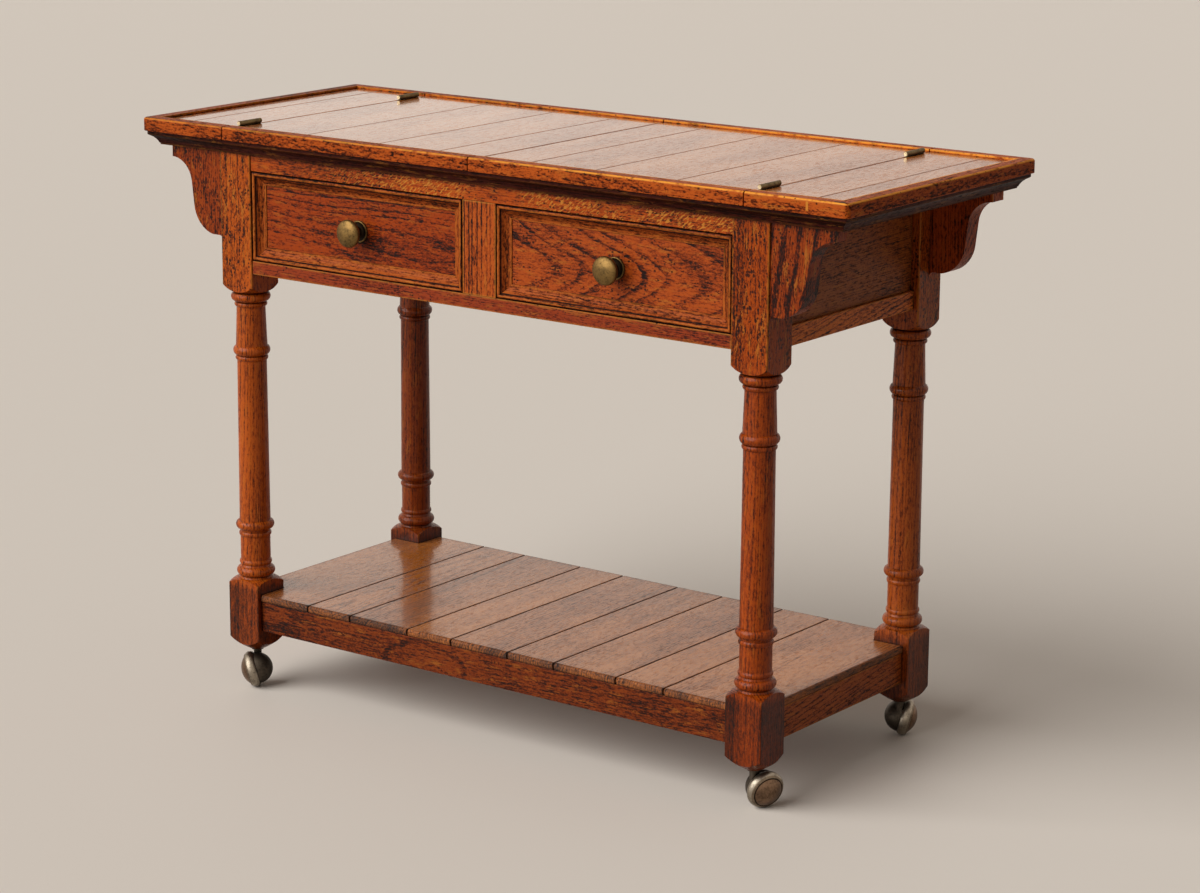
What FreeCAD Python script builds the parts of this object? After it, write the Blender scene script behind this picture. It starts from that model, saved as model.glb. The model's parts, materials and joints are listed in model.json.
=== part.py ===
import FreeCAD, Part
import os
import re
import Sketcher

# Flip-top serving trolley in stained oak, on hooded ball casters.
# X runs along its length, Y towards its back and Z up, in millimetres.
# The origin lies on the floor, under the centre of the top.

SIZES = {
    # Top: planks inside a raised rim, as two fixed ends and two leaves that flip over onto them
    "top_length": 1137,
    "top_depth": 445,
    "top_height": 790,
    "rim_height": 18.5,
    "rim_width": 19,
    "rim_lip": 3.5,
    "rim_corner_round": 7,
    "rim_arris_round": 3.5,
    "rim_under_round": 1.2,
    "leaf_joint": 2,
    "leaf_lift": 0.3,
    "fixed_end_length": 147,
    "plank_chamfer": 1.4,
    "inner_line_share": 0.178,
    "middle_line_share": 0.4175,
    "outer_line_share": 0.712,
    "end_plank_width": 44.5,
    # Board under the leaves, and the cove moulding mitred round it
    "deck_thickness": 19.1,
    "cornice_width": 25,
    "cornice_inset": 4.9,
    "cornice_fascia": 5,
    "cornice_quirk_width": 1.6,
    "cornice_quirk_height": 1.3,
    "cornice_foot_inset": 17.2,
    "cornice_foot_height": 2,
    "cornice_foot_step": 1,
    "cornice_cove_radius": 18,
    # Legs: square blocks with turned columns between them
    "post_width": 54.2,
    "post_end_inset": 122.75,
    "post_front_inset": 21.35,
    "post_arris_round": 1.8,
    "foot_curve": 110,
    "foot_flat_radius": 9,
    "foot_shoulder_rise": 19.7,
    "block_rise": 10.5,
    "block_shoulder_height": 8.5,
    "block_shoulder_radius": 24,
    "case_shoulder_drop": 17.9,
    "case_shoulder_height": 10.8,
    "case_shoulder_radius": 25,
    "shoulder_curve": 30,
    "ring_half_height": 6.5,
    "ring_neck_radius": 21.6,
    "ring_highest_drop": 18.1,
    "ring_highest_radius": 27,
    "ring_upper_drop": 92.9,
    "ring_upper_radius": 25.4,
    "ring_lower_rise": 84.2,
    "ring_lower_radius": 26.5,
    "ring_lowest_rise": 18,
    "ring_lowest_radius": 26.5,
    "bead_half_height": 3.6,
    "bead_radius": 22.4,
    "bead_spacing": 10.4,
    "bead_spacing_low": 12.8,
    "column_upper_radius": 19.7,
    "column_middle_top_radius": 20.3,
    "column_middle_foot_radius": 21.4,
    "column_lower_radius": 20.7,
    # Shaped brackets under the overhanging ends
    "corbel_thickness": 27,
    "corbel_setback": 3,
    "corbel_reach": 90,
    "corbel_tip": 15.8,
    "corbel_neck_reach": 55.2,
    "corbel_neck_drop": 48.1,
    "corbel_belly_reach": 51.5,
    "corbel_belly_drop": 79.4,
    "corbel_foot_reach": 18.3,
    "corbel_drop": 115.8,
    "corbel_hollow_radius": 35,
    "corbel_belly_radius": 42,
    "corbel_root_radius": 5.6,
    # Case that holds the drawers
    "rail_setback": 2,
    "rail_thickness": 22,
    "frieze_height": 22.1,
    "case_height": 162.9,
    "bottom_rail_height": 18.5,
    "stile_width": 54.2,
    "end_panel_recess": 13,
    "end_panel_thickness": 12,
    "end_rail_recess": 7.5,
    "end_rail_height": 25.5,
    "back_thickness": 18,
    "runner_width": 20,
    # Drawers
    "drawer_gap": 1.2,
    "drawer_seat_gap": 0.3,
    "drawer_side_gap": 1,
    "drawer_panel_recess": 12,
    "drawer_front_thickness": 18,
    "drawer_back_gap": 16.3,
    "drawer_side_thickness": 12,
    "drawer_side_clearance": 22,
    "drawer_bottom_lift": 10,
    "drawer_bottom_thickness": 6,
    "drawer_groove_depth": 5,
    "moulding_width": 18,
    "moulding_bead_width": 5,
    "moulding_bead_radius": 2.8,
    "moulding_groove_width": 1.4,
    "moulding_groove_depth": 2.4,
    "moulding_cove_radius": 13,
    "moulding_lip_width": 2,
    "moulding_lip_height": 1.2,
    "moulding_shoulder_drop": 1,
    # Knobs, their backplates and the bolts through the drawer fronts
    "knob_drop": 2.15,
    "knob_radius": 18,
    "knob_projection": 30,
    "knob_dome_rise": 5.5,
    "knob_rim_thickness": 2,
    "knob_rim_slope": 1,
    "knob_base_radius": 8,
    "knob_base_height": 1.5,
    "knob_neck_radius": 6.5,
    "knob_neck_height": 11,
    "knob_foot_curve": 7,
    "knob_throat_curve": 15,
    "backplate_radius": 16.5,
    "backplate_thickness": 3,
    "backplate_dish": 1.4,
    "backplate_rim_width": 3.4,
    "backplate_bead_radius": 2.04,
    "backplate_boss_radius": 9.5,
    "bolt_radius": 2,
    "bolt_thread_gap": 0.05,
    "bolt_hole_gap": 0.3,
    "bolt_thread_depth": 12,
    "bolt_head_radius": 4.5,
    "bolt_head_height": 2.5,
    # Shelf
    "shelf_rise": 85.5,
    "shelf_plank_thickness": 9.9,
    "shelf_front_setback": 6,
    "shelf_end_setback": 8,
    "shelf_nosing_round": 3.4,
    "shelf_gap": 2.5,
    "shelf_notch_gap": 0.5,
    "shelf_rail_setback": 2,
    "shelf_rail_height": 42.6,
    # Hinges: knuckles stand on the top, over each joint
    "hinge_length": 42,
    "hinge_inset": 37,
    "hinge_axis_lift": 0.3,
    "knuckle_radius": 3.3,
    "knuckle_gap": 0.3,
    "hinge_pin_radius": 1.2,
    "hinge_pin_gap": 0.05,
    "hinge_pin_head_radius": 2.6,
    "hinge_pin_head_height": 0.9,
    "hinge_plate_thickness": 0.8,
    "hinge_plate_lift": 1,
    "hinge_tongue_sink": 1,
    # Casters
    "caster_foot_gap": 1.2,
    "wheel_radius": 25.4,
    "wheel_width": 11,
    "wheel_crown_radius": 8,
    "wheel_tilt": 14,
    "wheel_bore_gap": 0.05,
    "tread_depth": 8,
    "tread_fit_gap": 0.1,
    "cap_radius": 21,
    "cap_rise": 10.5,
    "axle_radius": 3,
    "axle_chamfer": 0.5,
    "axle_end_gap": 0.2,
    "axle_reach": 2.5,
    "axle_depth": 16.5,
    "caster_trail": 13,
    "caster_offset": 7,
    "hood_radius": 22,
    "hood_wall": 2.5,
    "hood_gap": 0.5,
    "hood_boss_radius": 6,
    "neck_radius": 5.5,
    "neck_rise": 13.1,
    "neck_gap": 0.3,
    "stem_radius": 3.97,
    "stem_length": 39,
    "stem_chamfer": 1,
    "socket_gap": 0.08,
    "socket_wall": 1.5,
    "socket_fit_gap": 0.05,
    "socket_depth": 41,
    "socket_flange_radius": 8.5,
    "socket_flange_thickness": 1.2,
    "caster_angle_front_left": -137.8,
    "caster_angle_front_right": -24.6,
    "caster_angle_back_left": 200,
    "caster_angle_back_right": 28,
    # What a cutting shape runs past the piece that it cuts
    "cut_overrun": 5,
}

# Joints between the shelf planks, as shares of the way from the middle to the right legs
SHELF_JOINT_SHARES = {
    "joint_a_share": -0.780,
    "joint_b_share": -0.587,
    "joint_c_share": -0.329,
    "joint_d_share": -0.137,
    "joint_e_share": 0.106,
    "joint_f_share": 0.300,
    "joint_g_share": 0.555,
    "joint_h_share": 0.747,
}
SIZES.update(SHELF_JOINT_SHARES)

# Places that several pieces share, worked out from the sizes
HALF_LENGTH = "(top_length / 2)"
HALF_DEPTH = "(top_depth / 2)"
DECK_TOP = "(top_height - rim_height)"
DECK_UNDER = f"({DECK_TOP} - deck_thickness)"
PLANK_TOP = "(top_height - rim_lip)"
HINGE_LINE = f"({HALF_LENGTH} - fixed_end_length)"
POST_FACE_X = f"({HALF_LENGTH} - post_end_inset)"
POST_FACE_Y = f"({HALF_DEPTH} - post_front_inset)"
POST_X = f"({POST_FACE_X} - post_width / 2)"
POST_Y = f"({POST_FACE_Y} - post_width / 2)"
POST_INNER_X = f"({POST_FACE_X} - post_width)"
POST_INNER_Y = f"({POST_FACE_Y} - post_width)"
POST_FOOT = "(2 * wheel_radius + caster_foot_gap)"
SHELF_TOP = f"({POST_FOOT} + shelf_rise)"
BLOCK_TOP = f"({SHELF_TOP} + block_rise)"
CASE_UNDERSIDE = f"({DECK_UNDER} - case_height)"
CASE_SHOULDER = f"({CASE_UNDERSIDE} - case_shoulder_drop)"
CASE_FACE = f"({POST_FACE_Y} - rail_setback)"
CASE_INSIDE = f"({CASE_FACE} - rail_thickness)"
BACK_INSIDE = f"({CASE_FACE} - back_thickness)"
OPENING_LOW = f"({CASE_UNDERSIDE} + bottom_rail_height)"
OPENING_HIGH = f"({DECK_UNDER} - frieze_height)"
DRAWER_X = f"((stile_width / 2 + {POST_INNER_X}) / 2)"
DRAWER_HALF = f"(({POST_INNER_X} - stile_width / 2) / 2)"
DRAWER_PANEL = f"({POST_FACE_Y} - drawer_panel_recess)"
DRAWER_INNER = f"({DRAWER_PANEL} - drawer_front_thickness)"
DRAWER_REAR = f"({BACK_INSIDE} - drawer_back_gap)"
DRAWER_DEPTH = f"({DRAWER_REAR} + {DRAWER_INNER})"
OPENING_MIDDLE = f"(({OPENING_HIGH} + {OPENING_LOW}) / 2)"
HINGE_HEIGHT = "(top_height + hinge_axis_lift)"
HINGE_PLACE = f"({HALF_DEPTH} - rim_width - hinge_inset)"
RIGHT, LEFT = 1, -1
FRONT, BACK = -1, 1

doc = FreeCAD.newDocument("ServingTrolley")
sheet = doc.addObject("Spreadsheet::Sheet", "Sizes")
for row, (word, number) in enumerate(SIZES.items(), start=1):
    sheet.set(f"A{row}", word)
    sheet.set(f"B{row}", str(number))
    sheet.setAlias(f"B{row}", word)
doc.recompute()

nodes = []


def size(formula):
    """What a formula in the sheet's words comes to."""
    return float(sheet.evalExpression(formula))


def bind(piece, what, formula):
    """Ties one property of a piece to a formula in the sheet's words."""
    named = re.sub(r"[a-z_]+", lambda word: "Sizes." * (word.group() in SIZES) + word.group(), formula)
    piece.setExpression(what, named)


def place(piece, x="0", y="0", z="0", turn=FreeCAD.Rotation()):
    """Sets where a piece stands and how it is turned."""
    piece.Placement = FreeCAD.Placement(FreeCAD.Vector(size(x), size(y), size(z)), turn)
    for axis, formula in zip("xyz", (x, y, z)):
        bind(piece, f"Placement.Base.{axis}", formula)
    return piece


def about(axis, degrees):
    """A turn about one of the axes."""
    return FreeCAD.Rotation(FreeCAD.Vector(*(float(axis == name) for name in "XYZ")), degrees)


def both_ways(half):
    """A span from one side of the centre to the other."""
    return (f"-{half}", half)


def on_side(side, near, far):
    """A span on the right or the left of the centre, from its near to its far face."""
    return (near, far) if side > 0 else (f"-({far})", f"-({near})")


def board(name, x, y, z):
    """A plain board between two faces along each axis."""
    piece = doc.addObject("Part::Box", name)
    for measure, span in (("Length", x), ("Width", y), ("Height", z)):
        bind(piece, measure, f"({span[1]}) - ({span[0]})")
    return place(piece, x[0], y[0], z[0])


def arc_between(start, finish, radius, turn):
    """The short arc from start to finish that turns left (1) or right (-1)."""
    chord = finish - start
    towards_centre = FreeCAD.Vector(-chord.y, chord.x, 0).normalize() * turn
    offset = (radius ** 2 - (chord.Length / 2) ** 2) ** 0.5
    centre = (start + finish) / 2 + towards_centre * offset
    if turn < 0:
        start, finish = finish, start
    x_axis = FreeCAD.Vector(1, 0, 0)
    first = (start - centre).getAngle(x_axis) * (1 if start.y >= centre.y else -1)
    last = (finish - centre).getAngle(x_axis) * (1 if finish.y >= centre.y else -1)
    circle = Part.Circle(centre, FreeCAD.Vector(0, 0, 1), radius)
    return Part.ArcOfCircle(circle, first, last)


def hold(sketch, edge, point, corner):
    """Fixes one point of a sketch to its place in the sheet's words."""
    for kind, formula, other_axis in (("DistanceX", corner[0], -2), ("DistanceY", corner[1], -1)):
        if formula == "0":
            sketch.addConstraint(Sketcher.Constraint("PointOnObject", edge, point, other_axis))
        else:
            fixed = Sketcher.Constraint(kind, -1, 1, edge, point, size(formula))
            bind(sketch, f"Constraints[{sketch.addConstraint(fixed)}]", formula)


def add_circle(sketch, x, y, radius):
    """A whole circle in a sketch."""
    centre = FreeCAD.Vector(size(x), size(y), 0)
    circle = sketch.addGeometry(Part.Circle(centre, FreeCAD.Vector(0, 0, 1), size(radius)))
    hold(sketch, circle, 3, (x, y))
    index = sketch.addConstraint(Sketcher.Constraint("Radius", circle, size(radius)))
    bind(sketch, f"Constraints[{index}]", radius)


def add_outline(sketch, outline):
    """A closed outline. A corner is (x, y), or (x, y, radius, turn) where an arc leads to it."""
    places = [FreeCAD.Vector(size(corner[0]), size(corner[1]), 0) for corner in outline]
    first_edge = sketch.GeometryCount
    edges = []
    for number in range(len(outline)):
        ahead = (number + 1) % len(outline)
        start, finish, corner = places[number], places[ahead], outline[ahead]
        if len(corner) == 2:
            sketch.addGeometry(Part.LineSegment(start, finish))
            edges.append((1, 2))
        else:
            sketch.addGeometry(arc_between(start, finish, size(corner[2]), corner[3]))
            edges.append((1, 2) if corner[3] > 0 else (2, 1))
    for number, corner in enumerate(outline):
        edge = first_edge + number
        before = first_edge + (number - 1) % len(outline)
        meet = Sketcher.Constraint("Coincident", before, edges[number - 1][1], edge, edges[number][0])
        sketch.addConstraint(meet)
        hold(sketch, edge, edges[number][0], corner)
        if len(corner) > 2:
            index = sketch.addConstraint(Sketcher.Constraint("Radius", before, size(corner[2])))
            bind(sketch, f"Constraints[{index}]", corner[2])


def draw(body, plane, outlines, holes=()):
    """A sketch on one of the planes of a body's own origin."""
    sketch = body.newObject("Sketcher::SketchObject", f"{body.Name}_sketch")
    planes = [feature for feature in body.Origin.OriginFeatures if feature.Role == f"{plane}_Plane"]
    sketch.AttachmentSupport = (planes[0], [""])
    sketch.MapMode = "FlatFace"
    for outline in outlines:
        add_outline(sketch, outline)
    for hole in holes:
        add_circle(sketch, *hole)
    return sketch


def padded(name, plane, outline, length, symmetric=True, holes=()):
    """A piece of one section, padded from the plane that the section is drawn on."""
    body = doc.addObject("PartDesign::Body", name)
    pad = body.newObject("PartDesign::Pad", f"{name}_pad")
    pad.Profile = draw(body, plane, [outline], holes)
    pad.SideType = "Symmetric" if symmetric else "One side"
    bind(pad, "Length", length)
    return body


def turned(name, plane, outline, axis):
    """A piece turned about an axis of the plane that its half outline is drawn on."""
    body = doc.addObject("PartDesign::Body", name)
    spin = body.newObject("PartDesign::Revolution", f"{name}_turning")
    sketch = draw(body, plane, [outline])
    spin.Profile = sketch
    spin.ReferenceAxis = (sketch, [axis])
    return body


def groove(body, plane, outlines, axis):
    """Turns away what lies inside the outlines."""
    cut = body.newObject("PartDesign::Groove", f"{body.Name}_groove")
    sketch = draw(body, plane, outlines)
    cut.Profile = sketch
    cut.ReferenceAxis = (sketch, [axis])


def pocket_through(body, plane, outlines):
    """Cuts outlines right through a body, both ways from their plane."""
    cut = body.newObject("PartDesign::Pocket", f"{body.Name}_cut")
    cut.Profile = draw(body, plane, outlines)
    cut.Type = "ThroughAll"
    cut.SideType = "Symmetric"


def soften(body, radius, wanted):
    """Rounds the edges of a body's last feature that the test picks."""
    doc.recompute()
    base = body.Tip
    names = [f"Edge{number}" for number, edge in enumerate(base.Shape.Edges, start=1) if wanted(edge)]
    rounding = body.newObject("PartDesign::Fillet", f"{body.Name}_round")
    rounding.Base = (base, names)
    bind(rounding, "Radius", radius)


def group(name, pieces):
    """Several like pieces that share a node."""
    compound = doc.addObject("Part::Compound", name)
    compound.Links = pieces
    return compound


def keep(name, piece):
    """Names a finished sub-part, whose file has the same name."""
    piece.Label = name
    nodes.append(piece)


def mirrored(outline):
    """An outline on the other side of its first axis."""
    return [(corner[0], f"-({corner[1]})") for corner in outline]


def mitred_strip(name, section, edge_reach, half_run, width):
    """Moulding along X with its outer edge at -edge_reach in Y, both ends cut at 45 degrees.

    The section's corners are (distance in from the outer edge, height).
    """
    across = [(f"{corner[0]} - {edge_reach}",) + tuple(corner[1:]) for corner in section]
    strip = padded(name, "YZ", across, f"2 * {half_run}")
    right_waste = [
        (half_run, f"-{edge_reach}"),
        (f"{half_run} + cut_overrun", f"-{edge_reach}"),
        (f"{half_run} + cut_overrun", f"{width} + cut_overrun - {edge_reach}"),
        (f"{half_run} - {width} - cut_overrun", f"{width} + cut_overrun - {edge_reach}"),
    ]
    left_waste = [(f"-({corner[0]})", corner[1]) for corner in right_waste]
    pocket_through(strip, "XY", [right_waste, left_waste])
    return strip


def plank(name, start, finish, underside):
    """A plank of the top, laid front to back, with the chamfers that make the V-grooves."""
    section = [
        (start, underside),
        (finish, underside),
        (finish, f"{PLANK_TOP} - plank_chamfer"),
        (f"{finish} - plank_chamfer", PLANK_TOP),
        (f"{start} + plank_chamfer", PLANK_TOP),
        (start, f"{PLANK_TOP} - plank_chamfer"),
    ]
    return padded(name, "XZ", section, "top_depth - 2 * rim_width")


def planks(name, lines, underside, side):
    """A row of planks between the lines where they meet, on the right or the left of the top."""
    row = []
    for number, (start, finish) in enumerate(zip(lines, lines[1:])):
        row.append(place(plank(f"{name}_{number}", start, finish, underside), turn=about("Z", 90 - 90 * side)))
    keep(name, group(name, row))


def leaf_rim(name, side):
    """The two strips that edge a leaf, along its front and its back."""
    low = f"({DECK_TOP} + leaf_lift)"
    section = [
        (f"rim_width - {HALF_DEPTH}", low),
        (f"rim_under_round - {HALF_DEPTH}", low),
        (f"-{HALF_DEPTH}", f"{low} + rim_under_round", "rim_under_round", -1),
        (f"-{HALF_DEPTH}", "top_height - rim_arris_round"),
        (f"rim_arris_round - {HALF_DEPTH}", "top_height", "rim_arris_round", -1),
        (f"rim_width - {HALF_DEPTH}", "top_height"),
    ]
    middle = f"{side} * {HINGE_LINE} / 2"
    strips = [padded(f"{name}_{number}", "YZ", section, f"{HINGE_LINE} - leaf_joint") for number in range(2)]
    place(strips[0], x=middle)
    place(strips[1], x=middle, turn=about("Z", 180))
    keep(name, group(name, strips))


def end_rim_whole(name):
    """The rim round three sides of a fixed end, before it is divided at its mitres."""
    start = f"{HINGE_LINE} + leaf_joint / 2"
    corner = f"{HALF_LENGTH} - rim_corner_round"
    inside_y = f"({HALF_DEPTH} - rim_width)"
    outline = [
        (start, f"-{HALF_DEPTH}"),
        (corner, f"-{HALF_DEPTH}"),
        (HALF_LENGTH, f"rim_corner_round - {HALF_DEPTH}", "rim_corner_round", 1),
        (HALF_LENGTH, f"{HALF_DEPTH} - rim_corner_round"),
        (corner, HALF_DEPTH, "rim_corner_round", 1),
        (start, HALF_DEPTH),
        (start, inside_y),
        (f"{HALF_LENGTH} - rim_width", inside_y),
        (f"{HALF_LENGTH} - rim_width", f"-{inside_y}"),
        (start, f"-{inside_y}"),
    ]
    rim = padded(name, "XY", outline, "rim_height", symmetric=False)
    start_x = size(start)
    outer_y = size(f"{HALF_DEPTH} - rim_corner_round")
    outer_x = size(corner)
    slight = size("rim_under_round") / 100

    def outside(edge):
        middle = edge.CenterOfMass
        off_joint = edge.BoundBox.XMax > start_x + slight
        return off_joint and (abs(middle.y) > outer_y or middle.x > outer_x)

    def at_height(edge, height):
        return edge.BoundBox.ZMin > height - slight and edge.BoundBox.ZMax < height + slight

    soften(rim, "rim_arris_round", lambda edge: outside(edge) and at_height(edge, size("rim_height")))
    soften(rim, "rim_under_round", lambda edge: outside(edge) and at_height(edge, 0))
    return rim


def end_rim(name, side):
    """Front, end and back strips of a fixed end's rim, mitred at the corners."""
    before = f"{HINGE_LINE} - cut_overrun"
    beyond = f"{HALF_LENGTH} + cut_overrun"
    past_mitre_x = f"{HALF_LENGTH} - rim_width - cut_overrun"
    past_mitre_y = f"rim_width + cut_overrun - {HALF_DEPTH}"
    mitre = [(beyond, f"-{HALF_DEPTH} - cut_overrun"), (past_mitre_x, past_mitre_y)]
    behind = f"{HALF_DEPTH} + cut_overrun"
    off_front = mitre + [(before, past_mitre_y), (before, behind), (beyond, behind)]
    off_end = mitre + [(before, past_mitre_y), (before, f"-{HALF_DEPTH} - cut_overrun")]
    waste = ([off_front], [off_end, mirrored(off_end)], [mirrored(off_front)])
    strips = []
    for part, outlines in zip(("front", "end", "back"), waste):
        strip = end_rim_whole(f"{name}_{part}")
        pocket_through(strip, "XY", outlines)
        strips.append(place(strip, z=DECK_TOP, turn=about("Z", 90 - 90 * side)))
    keep(name, group(name, strips))


def top():
    """The fixed ends of the top and the two leaves between them."""
    shares = ("inner_line_share", "middle_line_share", "outer_line_share")
    leaf_lines = ["leaf_joint / 2"]
    leaf_lines += [f"({share} * {HINGE_LINE})" for share in shares]
    leaf_lines += [f"{HINGE_LINE} - leaf_joint / 2"]
    rim_inside = f"{HALF_LENGTH} - rim_width"
    end_lines = (f"{HINGE_LINE} + leaf_joint / 2", f"({rim_inside} - end_plank_width)", rim_inside)
    for word, side in (("left", LEFT), ("right", RIGHT)):
        planks(f"leaf_{word}_planks", leaf_lines, f"({DECK_TOP} + leaf_lift)", side)
        leaf_rim(f"leaf_{word}_rim", side)
        planks(f"end_top_{word}", end_lines, DECK_TOP, side)
        end_rim(f"end_rim_{word}", side)


def deck_and_cornice():
    """The serving board that the leaves cover, and the cove moulding mitred round it."""
    deck_x = both_ways(f"({HALF_LENGTH} - cornice_width)")
    deck_y = both_ways(f"({HALF_DEPTH} - cornice_width)")
    keep("serving_deck", board("serving_deck", deck_x, deck_y, (DECK_UNDER, DECK_TOP)))
    cove_top = f"{DECK_TOP} - cornice_fascia"
    section = [
        ("cornice_width", DECK_TOP),
        ("cornice_width", DECK_UNDER),
        ("cornice_foot_inset", DECK_UNDER),
        ("cornice_foot_inset", f"{DECK_UNDER} + cornice_foot_height"),
        ("cornice_foot_inset - cornice_foot_step", f"{DECK_UNDER} + cornice_foot_height"),
        ("cornice_inset + cornice_quirk_width", f"{cove_top} - cornice_quirk_height", "cornice_cove_radius", 1),
        ("cornice_inset", cove_top),
        ("cornice_inset", DECK_TOP),
    ]
    strips = {}
    for word, degrees in (("front", 0), ("right", 90), ("back", 180), ("left", 270)):
        reach, run = (HALF_DEPTH, HALF_LENGTH) if degrees % 180 == 0 else (HALF_LENGTH, HALF_DEPTH)
        strip = mitred_strip(f"cornice_{word}_strip", section, reach, run, "cornice_width")
        strips[word] = place(strip, turn=about("Z", degrees))
    keep("cornice_front", strips["front"])
    keep("cornice_back", strips["back"])
    keep("cornice_ends", group("cornice_ends", [strips["left"], strips["right"]]))


def bead(height, radius, half_height, neck):
    """Two corners of a turned bead or ring: the arc between them bulges to the radius."""
    rise = f"({radius} - {neck})"
    curve = f"({half_height}^2 + {rise}^2) / (2 * {rise})"
    return [(neck, f"{height} + {half_height}"), (neck, f"{height} - {half_height}", curve, -1)]


def ring(height, radius):
    return bead(height, radius, "ring_half_height", "ring_neck_radius")


def small_bead(height, neck):
    return bead(height, "bead_radius", "bead_half_height", neck)


def leg(name, x, y):
    """A leg turned from a square blank, which stays square at the case and at the shelf."""
    corner = "(post_width / 2 * sqrt(2))"
    outside = "(post_width + cut_overrun)"
    highest = f"({CASE_SHOULDER} - ring_highest_drop)"
    upper = f"({CASE_SHOULDER} - ring_upper_drop)"
    lower = f"({BLOCK_TOP} + ring_lower_rise)"
    lowest = f"({BLOCK_TOP} + ring_lowest_rise)"
    column = [
        (outside, CASE_SHOULDER),
        (corner, CASE_SHOULDER),
        ("case_shoulder_radius", f"{CASE_SHOULDER} - case_shoulder_height", "shoulder_curve", -1),
        *ring(highest, "ring_highest_radius"),
        *small_bead(f"({highest} - bead_spacing)", "column_upper_radius"),
        *ring(upper, "ring_upper_radius"),
        *small_bead(f"({upper} - bead_spacing)", "column_middle_top_radius"),
        ("column_middle_foot_radius", f"{lower} + ring_half_height + bead_half_height"),
        *ring(lower, "ring_lower_radius"),
        *small_bead(f"({lower} - bead_spacing_low)", "column_lower_radius"),
        *small_bead(f"({lowest} + bead_spacing_low)", "column_lower_radius"),
        *ring(lowest, "ring_lowest_radius"),
        ("block_shoulder_radius", f"{BLOCK_TOP} + block_shoulder_height"),
        (corner, BLOCK_TOP, "shoulder_curve", -1),
        (outside, BLOCK_TOP),
    ]
    foot = [
        (outside, f"{POST_FOOT} + foot_shoulder_rise"),
        (corner, f"{POST_FOOT} + foot_shoulder_rise"),
        ("foot_flat_radius", POST_FOOT, "foot_curve", -1),
        (outside, POST_FOOT),
    ]
    bore = "stem_radius + socket_gap + socket_wall + socket_fit_gap"
    socket = [
        ("0", f"{POST_FOOT} - cut_overrun"),
        (bore, f"{POST_FOOT} - cut_overrun"),
        (bore, f"{POST_FOOT} + socket_depth"),
        ("0", f"{POST_FOOT} + socket_depth"),
    ]
    half = "post_width / 2"
    square = [(f"-{half}", POST_FOOT), (half, POST_FOOT), (half, DECK_UNDER), (f"-{half}", DECK_UNDER)]
    body = padded(name, "XZ", square, "post_width")
    soften(body, "post_arris_round", lambda edge: edge.BoundBox.ZLength > size("post_width"))
    groove(body, "XZ", [column, foot], "V_Axis")
    groove(body, "XZ", [socket], "V_Axis")
    keep(name, place(body, x, y))


def corbel(name, side, depth_side):
    """A shaped bracket on the outer face of a leg, under the overhanging end."""
    outline = [
        ("0", DECK_UNDER),
        ("corbel_reach", DECK_UNDER),
        ("corbel_reach", f"{DECK_UNDER} - corbel_tip"),
        ("corbel_neck_reach", f"{DECK_UNDER} - corbel_neck_drop", "corbel_hollow_radius", 1),
        ("corbel_belly_reach", f"{DECK_UNDER} - corbel_belly_drop"),
        ("corbel_foot_reach", f"{DECK_UNDER} - corbel_drop", "corbel_belly_radius", -1),
        ("corbel_root_radius", f"{DECK_UNDER} - corbel_drop"),
        ("0", f"{DECK_UNDER} - corbel_drop - corbel_root_radius", "corbel_root_radius", 1),
    ]
    body = padded(name, "XZ", outline, "corbel_thickness")
    middle = f"{depth_side} * ({POST_FACE_Y} - corbel_setback - corbel_thickness / 2)"
    return place(body, f"{side} * {POST_FACE_X}", middle, turn=about("Z", 90 - 90 * side))


def legs_and_corbels():
    """Four legs, each with a bracket that carries the top's overhang."""
    for depth_word, depth_side in (("front", FRONT), ("back", BACK)):
        brackets = []
        for word, side in (("left", LEFT), ("right", RIGHT)):
            leg(f"leg_{depth_word}_{word}", f"{side} * {POST_X}", f"{depth_side} * {POST_Y}")
            brackets.append(corbel(f"corbel_{depth_word}_{word}", side, depth_side))
        keep(f"corbels_{depth_word}", group(f"corbels_{depth_word}", brackets))


def case():
    """Rails, stile, panels and the bars that the drawers run on."""
    between_posts = both_ways(POST_INNER_X)
    front = (f"-{CASE_FACE}", f"-{CASE_INSIDE}")
    keep("top_rail_front", board("top_rail_front", between_posts, front, (OPENING_HIGH, DECK_UNDER)))
    keep("bottom_rail_front", board("bottom_rail_front", between_posts, front, (CASE_UNDERSIDE, OPENING_LOW)))
    keep("centre_stile", board("centre_stile", both_ways("stile_width / 2"), front, (OPENING_LOW, OPENING_HIGH)))
    back = (BACK_INSIDE, CASE_FACE)
    keep("back_panel", board("back_panel", between_posts, back, (CASE_UNDERSIDE, DECK_UNDER)))
    panels, rails = [], []
    for side in (LEFT, RIGHT):
        face = f"({POST_FACE_X} - end_panel_recess)"
        across = on_side(side, f"{face} - end_panel_thickness", face)
        panel_z = (f"{CASE_UNDERSIDE} + end_rail_height", DECK_UNDER)
        panels.append(board("end_panel", across, both_ways(POST_INNER_Y), panel_z))
        face = f"({POST_FACE_X} - end_rail_recess)"
        across = on_side(side, f"{face} - rail_thickness", face)
        rail_z = (CASE_UNDERSIDE, f"{CASE_UNDERSIDE} + end_rail_height")
        rails.append(board("end_rail", across, both_ways(POST_INNER_Y), rail_z))
    keep("end_panels", group("end_panels", panels))
    keep("end_rails", group("end_rails", rails))
    spans = (
        on_side(LEFT, f"{POST_INNER_X} - runner_width", POST_INNER_X),
        both_ways("(stile_width / 2 + runner_width)"),
        on_side(RIGHT, f"{POST_INNER_X} - runner_width", POST_INNER_X),
    )
    runners = [board("runner", span, (f"-{CASE_INSIDE}", BACK_INSIDE), (CASE_UNDERSIDE, OPENING_LOW))
               for span in spans]
    keep("drawer_runners", group("drawer_runners", runners))


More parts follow.
